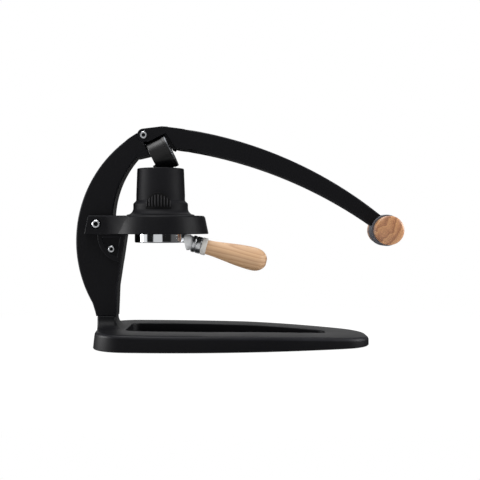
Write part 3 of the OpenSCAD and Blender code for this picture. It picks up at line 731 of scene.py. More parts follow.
class Repeater:
    """A Geometry Nodes tree with named inputs, run once on an object that then becomes a plain mesh."""

    def __init__(self, name: str, inputs: dict[str, str]) -> None:
        """Makes the empty tree.

        Args:
            name: Name of the tree.
            inputs: Input name to the last word of Blender's socket type.
        """
        self.tree = bpy.data.node_groups.new(name, "GeometryNodeTree")
        face = self.tree.interface
        face.new_socket("Geometry", in_out="INPUT", socket_type="NodeSocketGeometry")
        self.keys = {word: face.new_socket(word, in_out="INPUT", socket_type=f"NodeSocket{kind}").identifier
                     for word, kind in inputs.items()}
        face.new_socket("Geometry", in_out="OUTPUT", socket_type="NodeSocketGeometry")
        self.given = add_node(self.tree, "NodeGroupInput").outputs

    def node(self, kind: str, inputs: Inputs | None = None, **settings: object) -> bpy.types.Node:
        """Adds a node to the tree."""
        return add_node(self.tree, kind, inputs, **settings)

    def close(self, shape: bpy.types.Node) -> None:
        """Ends the tree in Realize Instances and Set Material.

        Args:
            shape: Node that gives the geometry.
        """
        real = self.node("GeometryNodeRealizeInstances", {0: shape})
        dressed = self.node("GeometryNodeSetMaterial", {"Geometry": real, "Material": self.given["Material"]})
        self.node("NodeGroupOutput", {0: dressed})

    def run(self, name: str, spots: Sequence[Spot], values: dict[str, object], sharp: float = 30.0) -> Piece:
        """Runs the tree on a set of spots.

        Args:
            name: Name of the piece.
            spots: Place in metres and outward direction of each spot.
            values: Input name to value.
            sharp: Angle in degrees above which an edge of the result stays sharp.

        Returns:
            The piece as a plain mesh.
        """
        mesh = bpy.data.meshes.new(name)
        mesh.from_pydata([tuple(place) for place, _ in spots], [], [])
        aim = mesh.attributes.new("aim", "FLOAT_VECTOR", "POINT")
        for i, (_, way) in enumerate(spots):
            aim.data[i].vector = way
        piece = bpy.data.objects.new(name, mesh)
        bpy.context.scene.collection.objects.link(piece)
        run = piece.modifiers.new(self.tree.name, "NODES")
        run.node_group = self.tree
        for key, value in values.items():
            run[self.keys[key]] = value
        settle(piece)
        piece.data.shade_smooth()
        piece.data.set_sharp_from_angle(angle=math.radians(sharp))
        return piece


def screw_tree() -> Repeater:
    """Makes the tree of a socket screw: domed head, hexagon socket and shank at each spot.

    Returns:
        The tree, whose spots lie on the head's seat and aim out of the head.
    """
    made = Repeater("socket_screws", {
        "Head Radius": "Float", "Head Height": "Float", "Socket Radius": "Float", "Shank Radius": "Float",
        "Shank Length": "Float", "Material": "Material"})
    high, long = made.given["Head Height"], made.given["Shank Length"]
    half = made.node("ShaderNodeMath", {0: high, 1: 0.5}, operation="MULTIPLY")
    blank = made.node("GeometryNodeMeshCylinder", {
        "Vertices": 48, "Side Segments": 10, "Fill Segments": 1, "Radius": made.given["Head Radius"],
        "Depth": high}, fill_type="NGON")
    # The crown draws in by a fifth at its top, along a steep curve.
    place = made.node("GeometryNodeInputPosition")
    parts = made.node("ShaderNodeSeparateXYZ", {0: place})
    share = made.node("ShaderNodeMath", {0: parts.outputs[2], 1: half}, operation="DIVIDE")
    upper = made.node("ShaderNodeMath", {0: share, 1: 0.0}, operation="MAXIMUM")
    curve = made.node("ShaderNodeMath", {0: upper, 1: 5.0}, operation="POWER")
    pull = made.node("ShaderNodeMath", {0: curve, 1: -0.2}, operation="MULTIPLY")
    flat = made.node("ShaderNodeVectorMath", {0: place, 1: (1.0, 1.0, 0.0)}, operation="MULTIPLY")
    inward = made.node("ShaderNodeVectorMath", {0: flat, "Scale": pull}, operation="SCALE")
    domed = made.node("GeometryNodeSetPosition", {"Geometry": blank, "Offset": inward})
    key = made.node("GeometryNodeMeshCylinder", {
        "Vertices": 6, "Radius": made.given["Socket Radius"], "Depth": high}, fill_type="NGON")
    up = made.node("ShaderNodeCombineXYZ", {2: half})
    raised = made.node("GeometryNodeTransform", {"Geometry": key, "Translation": up})
    head = made.node("GeometryNodeMeshBoolean", {0: domed, 1: raised}, operation="DIFFERENCE")
    seated = made.node("GeometryNodeTransform", {"Geometry": head, "Translation": up})
    shank = made.node("GeometryNodeMeshCylinder", {
        "Vertices": 32, "Radius": made.given["Shank Radius"], "Depth": long}, fill_type="NGON")
    drop = made.node("ShaderNodeMath", {0: long, 1: -0.5}, operation="MULTIPLY")
    down = made.node("ShaderNodeCombineXYZ", {2: drop})
    lowered = made.node("GeometryNodeTransform", {"Geometry": shank, "Translation": down})
    whole = made.node("GeometryNodeJoinGeometry", {0: [seated, lowered]})
    aim = made.node("GeometryNodeInputNamedAttribute", {"Name": "aim"}, data_type="FLOAT_VECTOR")
    turn = made.node("FunctionNodeAlignRotationToVector", {"Vector": aim}, axis="Z")
    made.close(made.node("GeometryNodeInstanceOnPoints", {
        "Points": made.given["Geometry"], "Instance": whole, "Rotation": turn}))
    return made


def fan_tree() -> Repeater:
    """Makes the tree of bars set round an arc, for dial ticks and pad ribs.

    Returns:
        The tree; bars stand on a circle about Z, and their height follows an arch.
    """
    made = Repeater("bars_on_arc", {
        "Count": "Int", "Arc Radius": "Float", "Start": "Float", "Sweep": "Float", "Bar": "Vector",
        "Arch": "Float", "Roundness": "Int", "Material": "Material"})
    line = made.node("GeometryNodeCurveArc", {
        "Resolution": made.given["Count"], "Radius": made.given["Arc Radius"],
        "Start Angle": made.given["Start"], "Sweep Angle": made.given["Sweep"]}, mode="RADIUS")
    bar = made.node("GeometryNodeMeshCube", {
        "Size": made.given["Bar"], "Vertices X": 2, "Vertices Y": 2, "Vertices Z": 2})
    smooth = made.node("GeometryNodeSubdivisionSurface", {"Mesh": bar, "Level": made.given["Roundness"]})
    place = made.node("GeometryNodeInputPosition")
    turn = made.node("FunctionNodeAlignRotationToVector", {"Vector": place}, axis="X", pivot_axis="Z")
    along = made.node("GeometryNodeSplineParameter").outputs["Factor"]
    centred = made.node("ShaderNodeMath", {0: along, 1: 2.0, 2: -1.0}, operation="MULTIPLY_ADD")
    square = made.node("ShaderNodeMath", {0: centred, 1: centred}, operation="MULTIPLY")
    fall = made.node("ShaderNodeMath", {0: square, 1: made.given["Arch"]}, operation="MULTIPLY")
    high = made.node("ShaderNodeMath", {0: 1.0, 1: fall}, operation="SUBTRACT")
    scale = made.node("ShaderNodeCombineXYZ", {0: 1.0, 1: 1.0, 2: high})
    # A bar shortened by the arch keeps its foot on the common line.
    deep = made.node("ShaderNodeSeparateXYZ", {0: made.given["Bar"]})
    lost = made.node("ShaderNodeMath", {0: deep.outputs[2], 1: fall}, operation="MULTIPLY")
    sink = made.node("ShaderNodeMath", {0: lost, 1: -0.5}, operation="MULTIPLY")
    foot = made.node("ShaderNodeCombineXYZ", {2: sink})
    lowered = made.node("GeometryNodeSetPosition", {"Geometry": line, "Offset": foot})
    made.close(made.node("GeometryNodeInstanceOnPoints", {
        "Points": lowered, "Instance": smooth, "Rotation": turn, "Scale": scale}))
    return made


# Sub-assemblies

SIDES = (-1, 1)
SIDEWAYS = ((0, -1, 0), (0, 1, 0))
DOWNWARDS = ((0, 0, -1), (0, 0, -1))
UPRIGHT = [(Vector(), Vector((0, 0, 1)))]
TOUCH = 0.05  # how near in mm counts as on a face


@dataclass
class SubAssembly:
    """Pieces that ride on one CAD body."""

    body: Body

    def keep(self, piece: Piece, finish: Finish, slot: Slot, *nodes: str) -> None:
        """Dresses a finished piece and lets it stand for CAD nodes.

        Args:
            piece: The plain mesh, in place.
            finish: Its finish.
            slot: The record's slot; not used.
            nodes: CAD nodes that it stands for.
        """
        piece.data.materials.clear()
        piece.data.materials.append(finish.material())
        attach(piece, self.body.value)
        if nodes:
            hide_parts(*nodes)
        LOG.info("%s: %s, %d faces", self.body.value, piece.name, len(piece.data.polygons))

    def soften(self, node: str, name: str, width: Width, finish: Finish, slot: Slot, **options: object) -> None:
        """Keeps a copy of a CAD node with rounded edges in its place.

        Args:
            node: The CAD node.
            name: Name of the piece.
            width: Rounding in mm, or what gives it at an edge's middle.
            finish: Its finish.
            slot: Its slot.
            options: What else the rounding takes.
        """
        self.keep(softened(node, name, width, **options), finish, slot, node)

    def fasten(self, screws: Repeater, name: str, node: str, spots: Sequence[Spot],
               mm: Sequence[float]) -> None:
        """Sets socket screws, each with a dark disc of painted shade on its socket's floor.

        Args:
            screws: Tree of the socket screw.
            name: Name of the piece.
            node: CAD node that it replaces.
            spots: Seat of each head in metres and where it aims.
            mm: Head radius, head height, socket radius, shank radius and shank length in mm.
        """
        keys = ("Head Radius", "Head Height", "Socket Radius", "Shank Radius", "Shank Length")
        # A dark disc on each socket's floor stands in for the shade in the hollow.
        shade_spots = [(seat + aim * (mm[1] * MM / 2), aim) for seat, aim in spots]
        shade_mm = (mm[2] * 0.9, 0.3, 0.05, 0.05, 0.1)
        for word, places, sizes, finish, slot, nodes in (
                (name, spots, mm, STEEL, Slot.STEEL, (node,)),
                (f"{name}_floor", shade_spots, shade_mm, SOCKET_SHADE, Slot.BLACK_COAT, ())):
            values = {**{k: v * MM for k, v in zip(keys, sizes)}, "Material": finish.material()}
            self.keep(screws.run(word, places, values), finish, slot, *nodes)

    def dress(self, node: str, finish: Finish) -> None:
        """Gives a CAD node that stays in view its finish.

        Args:
            node: Name of the CAD node.
            finish: Its finish.
        """
        kept = frame["nodes"][node]
        kept.data.materials.clear()
        kept.data.materials.append(finish.material())
        LOG.info("%s: %s kept", self.body.value, node)


@dataclass
class Base(SubAssembly):
    """Looped cast base with its stub, and the rubber feet under it. X counts from the brew axis."""

    body: Body = Body.FRAME
    rear: float = 84.0
    front: float = 279.0
    half_w: float = 97.0
    wide_x: float = 25.0
    side_r: float = 640.0
    corner: float = 50.0
    rear_h: float = 23.0
    front_h: float = 18.5
    lift: float = 0.5
    chamfer: float = 1.0
    edge: float = 5.0
    droop: float = 6.0  # how far the front end bends down, from droop_from on
    droop_from: float = 110.0
    tuck: float = 2.4  # how far the rear corners lean in at the top, behind tuck_from and about tuck_y
    tuck_from: float = 50.0
    tuck_y: float = 47.0
    tuck_most: float = 1.3
    rim: float = 48.0
    opening_corner: float = 16.0
    opening_rear: float = 44.0
    opening_edge: float = 1.6
    land: float = 57.0
    ledge: float = 6.0
    ledge_z: float = 7.0
    ledge_edge: float = 0.4
    stub_x: Point2 = (-83.2, -59.2)
    stub_z: float = 38.5
    stub_corner: float = 2.4
    stub_lip: float = 0.7
    stub_sunk: float = 4.0
    flare_front: float = 12.0
    flare_side: float = 20.0
    flare_corner: Point2 = (18.0, 9.0)  # growth of the rear and the front corners
    foot_edge: float = 0.6

    def tucked(self, spot: Point2, z: float) -> Point3:
        """Lets the rear corners of the outer wall lean in towards the top.

        Args:
            spot: Point of the outline.
            z: Its height.

        Returns:
            The point in its place.
        """
        x, y = spot
        behind = max(0.0, -(x + self.tuck_from) / (self.rear - self.tuck_from))
        lean = self.tuck * z / self.rear_h
        return x + behind * lean * min(self.tuck_most, (y / self.tuck_y) ** 2), y, z

    def top(self, x: float) -> float:
        """Gives the height of the sloping top.

        Args:
            x: Distance ahead of the brew axis.

        Returns:
            The height there.
        """
        fall = (self.rear_h - self.front_h) / (self.rear + self.front)
        bend = max(0.0, (x - self.droop_from) / (self.front - self.droop_from))
        return self.rear_h - fall * (x + self.rear) - self.droop * bend ** 1.5

    def plan(self, inset: float, x0: float, x1: float, corner: float) -> list[Point2]:
        """Draws an outline from above: two long arcs, two straight ends and four round corners.

        Args:
            inset: Distance that the long arcs are drawn in.
            x0: Rear end.
            x1: Front end.
            corner: Corner radius.

        Returns:
            Points round the outline, always as many.
        """
        end_steps, corner_steps, side_steps = 6, 14, 60
        cx, cy = self.wide_x, self.half_w - self.side_r
        big = self.side_r - inset
        front, rear = ((x, cy + math.sqrt((big - corner) ** 2 - (x - cx) ** 2))
                       for x in (x1 - corner, x0 + corner))
        spins = [math.degrees(math.atan2(y - cy, x - cx)) for x, y in (front, rear)]
        half = [(x1, front[1] * k / end_steps) for k in range(end_steps)]
        half += arc(front, corner, 0, spins[0], corner_steps)
        half += arc((cx, cy), big, *spins, side_steps)[1:-1]
        half += arc(rear, corner, spins[1], 180, corner_steps)
        half += [(x0, rear[1] * k / end_steps) for k in reversed(range(end_steps))]
        return half + [(x, -y) for x, y in reversed(half[1:-1])]

    def outer(self, inset: float) -> list[Point2]:
        """Outer outline drawn in by a distance."""
        return self.plan(inset, inset - self.rear, self.front - inset, self.corner - inset)

    def opening(self, inset: float) -> list[Point2]:
        """Outline of the drip opening drawn in by a distance."""
        return self.plan(self.rim + inset, inset - self.opening_rear, self.front - self.land - inset,
                         self.opening_corner - inset / 2)

    @staticmethod
    def ring(bm: bmesh.types.BMesh, row: Sequence[Point3]) -> Ring:
        """Adds a row of points to the base's mesh."""
        return [bm.verts.new(((x + AXES.brew_x) * MM, y * MM, z * MM)) for x, y, z in row]

    def build(self) -> None:
        """Lofts the ring of the base, adds the stub and rounds what the hand meets."""
        rows = [[self.tucked(spot, self.lift + self.chamfer - inset) for spot in self.outer(inset)]
                for inset in (self.chamfer, 0.0)]
        for run, drop in quarter(7):
            rows.append([self.tucked(spot, self.top(spot[0]) - self.edge * drop)
                         for spot in self.outer(self.edge * run)])
        for drop, run in quarter(5):
            rows.append([(x, y, self.top(x) - self.opening_edge * drop)
                         for x, y in self.opening(-self.opening_edge * run)])
        deep, turn = self.ledge_z, self.ledge_edge
        for inset, z in ((0.0, deep), (self.ledge - turn, deep), (self.ledge, deep - turn),
                         (self.ledge, self.lift)):
            rows.append([(x, y, z) for x, y in self.opening(inset)])
        bm = bmesh.new()
        rim = bm.verts.layers.float.new("rim")
        rings = [self.ring(bm, row) for row in rows]
        # Painted highlight: the middle of both roundings is painted lighter, and the coat made smoother there.
        for row in (*range(3, 8), *range(11, 15)):
            for vert in rings[row]:
                vert[rim] = 1.0
        stitch(bm, rings, closed=True)
        self.add_stub(bm, rim)
        self.keep(from_bmesh("base_ring", bm), CASTING, Slot.BLACK_COAT, "base_casting")
        self.soften("feet", "rubber_feet", self.foot_edge, FOOT, Slot.FOOT_RUBBER)

    def add_stub(self, bm: bmesh.types.BMesh, rim: bmesh.types.BMLayerItem) -> None:
        """Adds the stub under the post, flaring down into the base at its sides and front.

        Args:
            bm: Mesh of the base.
            rim: Its edge attribute.
        """
        (x0, x1), lip, lip_highlight = self.stub_x, self.stub_lip, 0.6
        flare = quarter(12)
        # Rise, spread, inset and extra height: the first ring is sunk in the base, the last two make the lip.
        levels = [(*flare[0], 0.0, -self.stub_sunk), *((*step, 0.0, 0.0) for step in flare),
                  (*flare[-1], 0.0, lip), (*flare[-1], lip, 2 * lip)]
        rings = []
        for rise, spread, inset, extra in levels:
            half = AXES.arm_half + self.flare_side * spread - inset
            ring: list[Point3] = []
            for quadrant, (sx, sy) in enumerate(((1, 1), (-1, 1), (-1, -1), (1, -1))):
                r = self.stub_corner + self.flare_corner[sx > 0] * spread
                end = x1 + self.flare_front * spread - inset if sx > 0 else x0 + inset
                for x, y in arc((end - sx * r, sy * (half - r)), r, 90 * quadrant, 90 * quadrant + 90, 6):
                    ring.append((x, y, self.top(x) * (1 - rise) + (self.stub_z - 2 * lip) * rise + extra))
            rings.append(self.ring(bm, ring))
        # The lip's ring takes part of the painted edge highlight.
        for vert in rings[-2]:
            vert[rim] = lip_highlight
        stitch(bm, rings, capped=True)


@dataclass
class DripTray(SubAssembly):
    """Sheet tray in the base's opening and the slotted grate on it."""

    body: Body = Body.TRAY
    grate_edge: float = 0.5
    tray_edge: float = 0.35

    def build(self) -> None:
        """Rounds the grate's slots and the tray's rim."""
        for node, name, edge in (("drip_grate", "slotted_grate", self.grate_edge),
                                 ("drip_tray", "pressed_tray", self.tray_edge)):
            self.soften(node, name, edge, SHEET_COAT, Slot.TRAY_BLACK, steps=2)


@dataclass
class Post(SubAssembly):
    """Arched post with the forked yoke, its screws and the bolts that hold it to the base."""

    body: Body = Body.FRAME
    side_round: float = 2.6
    fine: float = 0.7
    eye_reach: float = 22.0
    foot_z: float = 45.0
    hole_r: float = 4.6
    screw_at: Point2 = (-189.25, 161.4)
    screw_y: float = 24.02
    screw_mm: tuple[float, ...] = (5.6, 4.6, 3.4, 4.0, 18.0)
    lug_at: Point2 = (-169.65, 128.2)
    lug_y: float = 20.02
    lug_mm: tuple[float, ...] = (4.6, 3.0, 2.7, 3.0, 14.0)
    bolt_at: Point3 = (-177.45, 9.0, 11.0)
    bolt_mm: tuple[float, ...] = (6.5, 7.0, 3.2, 4.0, 61.0)
    yoke_round: Point2 = (0.5, 0.9)  # inside and outside of the ring's reach
    ring_reach: float = 55.0
    arm_gap: float = 0.5
    arm_from: float = 20.0
    toe: tuple[Point2, ...] = ((-136.5, 249.2), (-132.0, 250.2), (-120.0, 253.0), (-128.0, 269.4),
                               (-134.0, 269.4), (-138.0, 262.0))
    toe_inset: float = 0.1

    def post_edge(self, p: Vector) -> float:
        """Gives the rounding of the post: fine at its eye and foot, none round the screw holes.

        Args:
            p: Middle of an edge.

        Returns:
            The rounding there.
        """
        if away(p, AXES.pivot) < self.eye_reach:
            return self.fine
        if abs(abs(p.y) - AXES.arm_half) < TOUCH:
            return 0.0 if min(away(p, self.screw_at), away(p, self.lug_at)) < self.hole_r else self.side_round
        return 0.0 if p.z > self.foot_z else self.fine

    def yoke_edge(self, p: Vector) -> float:
        """Gives the rounding of the yoke, with none where its arms lie on the post.

        Args:
            p: Middle of an edge.

        Returns:
            The rounding there.
        """
        if abs(p.y) < AXES.arm_half + self.arm_gap and p.x < AXES.brew_x - self.arm_from:
            return 0.0
        return self.yoke_round[math.hypot(p.x - AXES.brew_x, p.y) >= self.ring_reach]

    def build(self, screws: Repeater) -> None:
        """Rounds the castings and sets the screws.

        Args:
            screws: Tree of the socket screw.
        """
        self.soften("post", "arched_post", self.post_edge, CASTING, Slot.BLACK_COAT, slide=False)
        toe_y = AXES.arm_half - self.toe_inset
        self.keep(prism("post_toe", self.toe, ((-toe_y, toe_y),)), CASTING, Slot.BLACK_COAT)
        self.soften("yoke", "forked_yoke", self.yoke_edge, CASTING, Slot.BLACK_COAT)
        bolt_x, bolt_y, bolt_z = self.bolt_at
        for name, node, (x, z), y, aims, sizes in (
                ("yoke_socket_screws", "yoke_screws", self.screw_at, self.screw_y, SIDEWAYS, self.screw_mm),
                ("lug_socket_screws", "lug_screws", self.lug_at, self.lug_y, SIDEWAYS, self.lug_mm),
                ("post_socket_bolts", "post_bolts", (bolt_x, bolt_z), bolt_y, DOWNWARDS, self.bolt_mm)):
            spots = [(Vector((x, side * y, z)) * MM, Vector(aim)) for side, aim in zip(SIDES, aims)]
            self.fasten(screws, name, node, spots, sizes)


@dataclass
class BrewGroup(SubAssembly):
    """Brew cylinder in the yoke, its ribbed pads, the gasket and the shower screen."""

    body: Body = Body.FRAME
    spigot_z: float = 163.0
    spigot_r: float = 38.1
    yoke_top: float = 172.5
    flange_r: float = 45.5
    flange_h: float = 1.5
    collar_r: float = 36.8
    collar_h: float = 16.5
    shoulder: float = 1.4
    shoulder_h: Point2 = (20.0, 28.0)
    mouth_r: float = 31.4
    mouth_z: float = 236.0
    bore_r: float = 25.0
    funnel: Point2 = (2.6, 2.5)
    pad_r: float = 38.2
    pad_half_w: float = 17.5
    pad_z: float = 181.0
    pad_h: float = 22.0
    pad_edge: float = 0.5
    pad_inset: float = 0.05
    rib: float = 0.9
    rib_count: int = 9
    rib_sweep: float = 48.0
    rib_w: Point2 = (2.4, 2.1)
    rib_short: float = 2.4
    rib_arch: float = 0.42

    def section(self) -> list[Point2]:
        """Draws the half section of the brew cylinder, outside upwards and bore downwards.

        Returns:
            Points of the section.
        """
        top, flare = self.yoke_top, self.flange_r - self.collar_r
        skirt = top + self.flange_h
        sweep = arc((self.flange_r, skirt + flare), flare, 270, 180, 12)[1:]
        neck = self.mouth_r + self.shoulder
        low, high = self.shoulder_h
        wide, deep = self.funnel
        return rounded([
            (self.bore_r, self.spigot_z, 0), (self.spigot_r, self.spigot_z, 0), (self.spigot_r, top, 0),
            (self.flange_r, top, 0.3), (self.flange_r, skirt, 0.4), *((r, z, 0) for r, z in sweep),
            (self.collar_r, top + self.collar_h, 1.6), (neck, top + low, 1.6), (neck, top + high, 0.8),
            (self.mouth_r, self.mouth_z, 1.6), (self.bore_r + wide, self.mouth_z, 0.5),
            (self.bore_r, self.mouth_z - deep, 0.5)])

    def pad_top(self, x: float) -> float:
        """Height of a pad's arched top at a distance from its middle."""
        return self.pad_z + self.pad_h - self.pad_half_w + math.sqrt(max(0.0, self.pad_half_w ** 2 - x * x))

    def build(self, bars: Repeater) -> None:
        """Turns the cylinder, builds the pads and keeps the rest.

        Args:
            bars: Tree of bars round an arc.
        """
        self.keep(lathe("turned_brew_cylinder", self.section(), AXES.brew(), 128), BREW_COAT, Slot.BREW_BLACK,
                  "brew_cylinder")
        for side, name in zip(SIDES, ("near", "far")):
            self.build_pad(bars, side, name)
        self.dress("shower_screen", STEEL)
        self.dress("group_gasket", SILICONE)

    def build_pad(self, bars: Repeater, side: int, name: str) -> None:
        """Builds one pad: a curved plate with an arched top, and upright ribs on it.

        Args:
            bars: Tree of bars round an arc.
            side: -1 for the pad towards -Y, 1 for the other.
            name: Word for the side.
        """
        bm = bmesh.new()
        reach = math.asin((self.pad_half_w - self.pad_inset) / self.pad_r)
        across, upright = 28, 5
        inner, outer, edge, low = self.mouth_r, self.pad_r - self.rib, self.pad_edge, self.pad_z
        grid: list[Ring] = []
        for i in range(across + 1):
            a = reach * (2 * i / across - 1)
            top = self.pad_top(self.pad_r * math.sin(a))
            column = [(inner, low), (outer - edge, low), (outer, low + edge)]
            step = (top - low - 2 * edge) / upright
            column += [(outer, low + edge + step * k) for k in range(1, upright + 1)]
            column += [(outer - edge, top), (inner, top)]
            way = Vector((math.sin(a), side * math.cos(a), 0.0))
            grid.append([bm.verts.new((way * r + Vector((0.0, 0.0, z))) * MM) for r, z in column])
        stitch(bm, grid, capped=True)
        plate = from_bmesh(f"{name}_pad_plate", bm)
        tall, bite, ribs_deg = self.pad_h - self.rib_short, 0.1, 60.0
        ribs = bars.run(f"{name}_pad_ribs", UPRIGHT, {
            "Count": self.rib_count, "Arc Radius": (outer + bite) * MM,
            "Start": math.radians(side * 90 - self.rib_sweep / 2), "Sweep": math.radians(self.rib_sweep),
            "Bar": Vector((*self.rib_w, tall)) * MM, "Arch": self.rib_arch, "Roundness": 2,
            "Material": PAD_RIB_LIT.material()}, ribs_deg)
        ribs.data.transform(AXES.brew() @ Matrix.Translation((0, 0, (low + self.pad_h / 2) * MM)))
        plate.data.transform(AXES.brew())
        # The plate between the ribs takes the painted shade, the ribs the painted highlight.
        self.keep(plate, PAD_SHADED, Slot.PAD_RUBBER, *(("grip_pads",) if side < 0 else ()))
        self.keep(ribs, PAD_RIB_LIT, Slot.PAD_RUBBER)


@dataclass
class Lever(SubAssembly):
    """Curved lever with its pivot bolt, and the hub with two turned wooden grips."""

    body: Body = Body.LEVER
    side_round: float = 2.2
    root_round: float = 0.6
    slot_round: float = 0.8
    root_x: float = -66.0
    slot_x: float = -24.0
    slot_half: float = 13.0
    eye_r: Point2 = (5.0, 8.0)
    bolt_mm: tuple[float, ...] = (4.7, 1.6, 2.8, 3.5, 18.0)
    hub_r: float = 21.0
    hub_half: float = 14.0
    hub_round: float = 1.6
    bore_r: float = 5.02
    bore_end: float = 11.9
    grip_r: float = 19.2
    neck_r: float = 18.0
    neck_round: float = 1.2
    grip_len: float = 27.0
    swell: float = 0.6
    dome: float = 5.0
    throat: tuple[Point2, ...] = ((14.7, 27.0), (17.4, 27.0), (20.8, -3.2), (17.5, -4.6), (14.7, -1.5))
    throat_y: Point2 = (14.2, 15.0)

    def edge(self, p: Vector) -> float:
        """Gives the rounding of the lever, with none at its eyes and under the hub.

        Args:
            p: Middle of an edge.

        Returns:
            The rounding there.
        """
        near = away(p, AXES.pivot)
        if near < self.eye_r[0]:
            return 0.0
        if p.x < self.root_x:
            return self.root_round if abs(abs(p.y) - AXES.arm_half) < TOUCH and near > self.eye_r[1] else 0.0
        if away(p, AXES.hub) < self.hub_r + 1:
            return 0.0
        return self.slot_round if abs(p.y) < self.slot_half and p.x < self.slot_x else self.side_round

    def build(self, screws: Repeater) -> None:
        """Rounds the lever, turns the grips and sets the pivot's heads.

        Args:
            screws: Tree of the socket screw.
        """
        self.soften("lever_arm", "curved_lever", self.edge, CASTING, Slot.BLACK_COAT)
        throat = [AXES.dial() @ (Vector((-u, 0, a)) * MM) / MM for a, u in self.throat]
        low, high = self.throat_y
        self.keep(prism("lever_throat", [(p.x, p.z) for p in throat], ((-high, -low), (low, high))), CASTING,
                  Slot.BLACK_COAT)
        x, z = AXES.pivot
        spots = [(Vector((x, side * AXES.arm_half, z)) * MM, Vector(aim))
                 for side, aim in zip(SIDES, SIDEWAYS)]
        self.fasten(screws, "pivot_bolt_heads", "pivot_bolt", spots, self.bolt_mm)
        half, r, bore, turn = self.hub_half, self.hub_r, self.bore_r, self.hub_round
        hub = rounded([(bore, -half, 0), (r, -half, turn), (r, half, turn), (bore, half, 0)])
        self.keep(lathe("cast_hub", hub, AXES.cross_bar(1)), HUB_COAT, Slot.BLACK_COAT, "handle_hub")
        for side, name in zip(SIDES, ("near_grip", "far_grip")):
            self.keep(lathe(name, self.grip(), AXES.cross_bar(side)), BAR_WOOD, Slot.WOOD,
                      *(("handle_grips",) if side < 0 else ()))
        self.dress("handle_rod", STEEL)

    def grip(self) -> list[Point2]:
        """Draws the half section of a wooden grip: narrow at the hub, swelling, with a rounded crown.

        Returns:
            Points of the section.
        """
        start, end = self.hub_half, self.hub_half + self.grip_len
        turn, rise = self.neck_round, self.swell * self.grip_len
        slim = self.neck_r
        made = rounded([(self.bore_r, start, 0), (slim, start, turn), (slim + 0.4, start + 8, 0)])[:-1]
        for t in (k / 10 for k in range(11)):
            ease = math.sin(t * math.pi / 2)
            made.append((slim + (self.grip_r - slim) * ease, start + turn + (rise - turn) * t))
        made += [(self.grip_r * (1 - run), end - self.dome * drop) for run, drop in quarter(14)]
        return [*made, (0.0, end - self.bore_end), (self.bore_r, end - self.bore_end)]


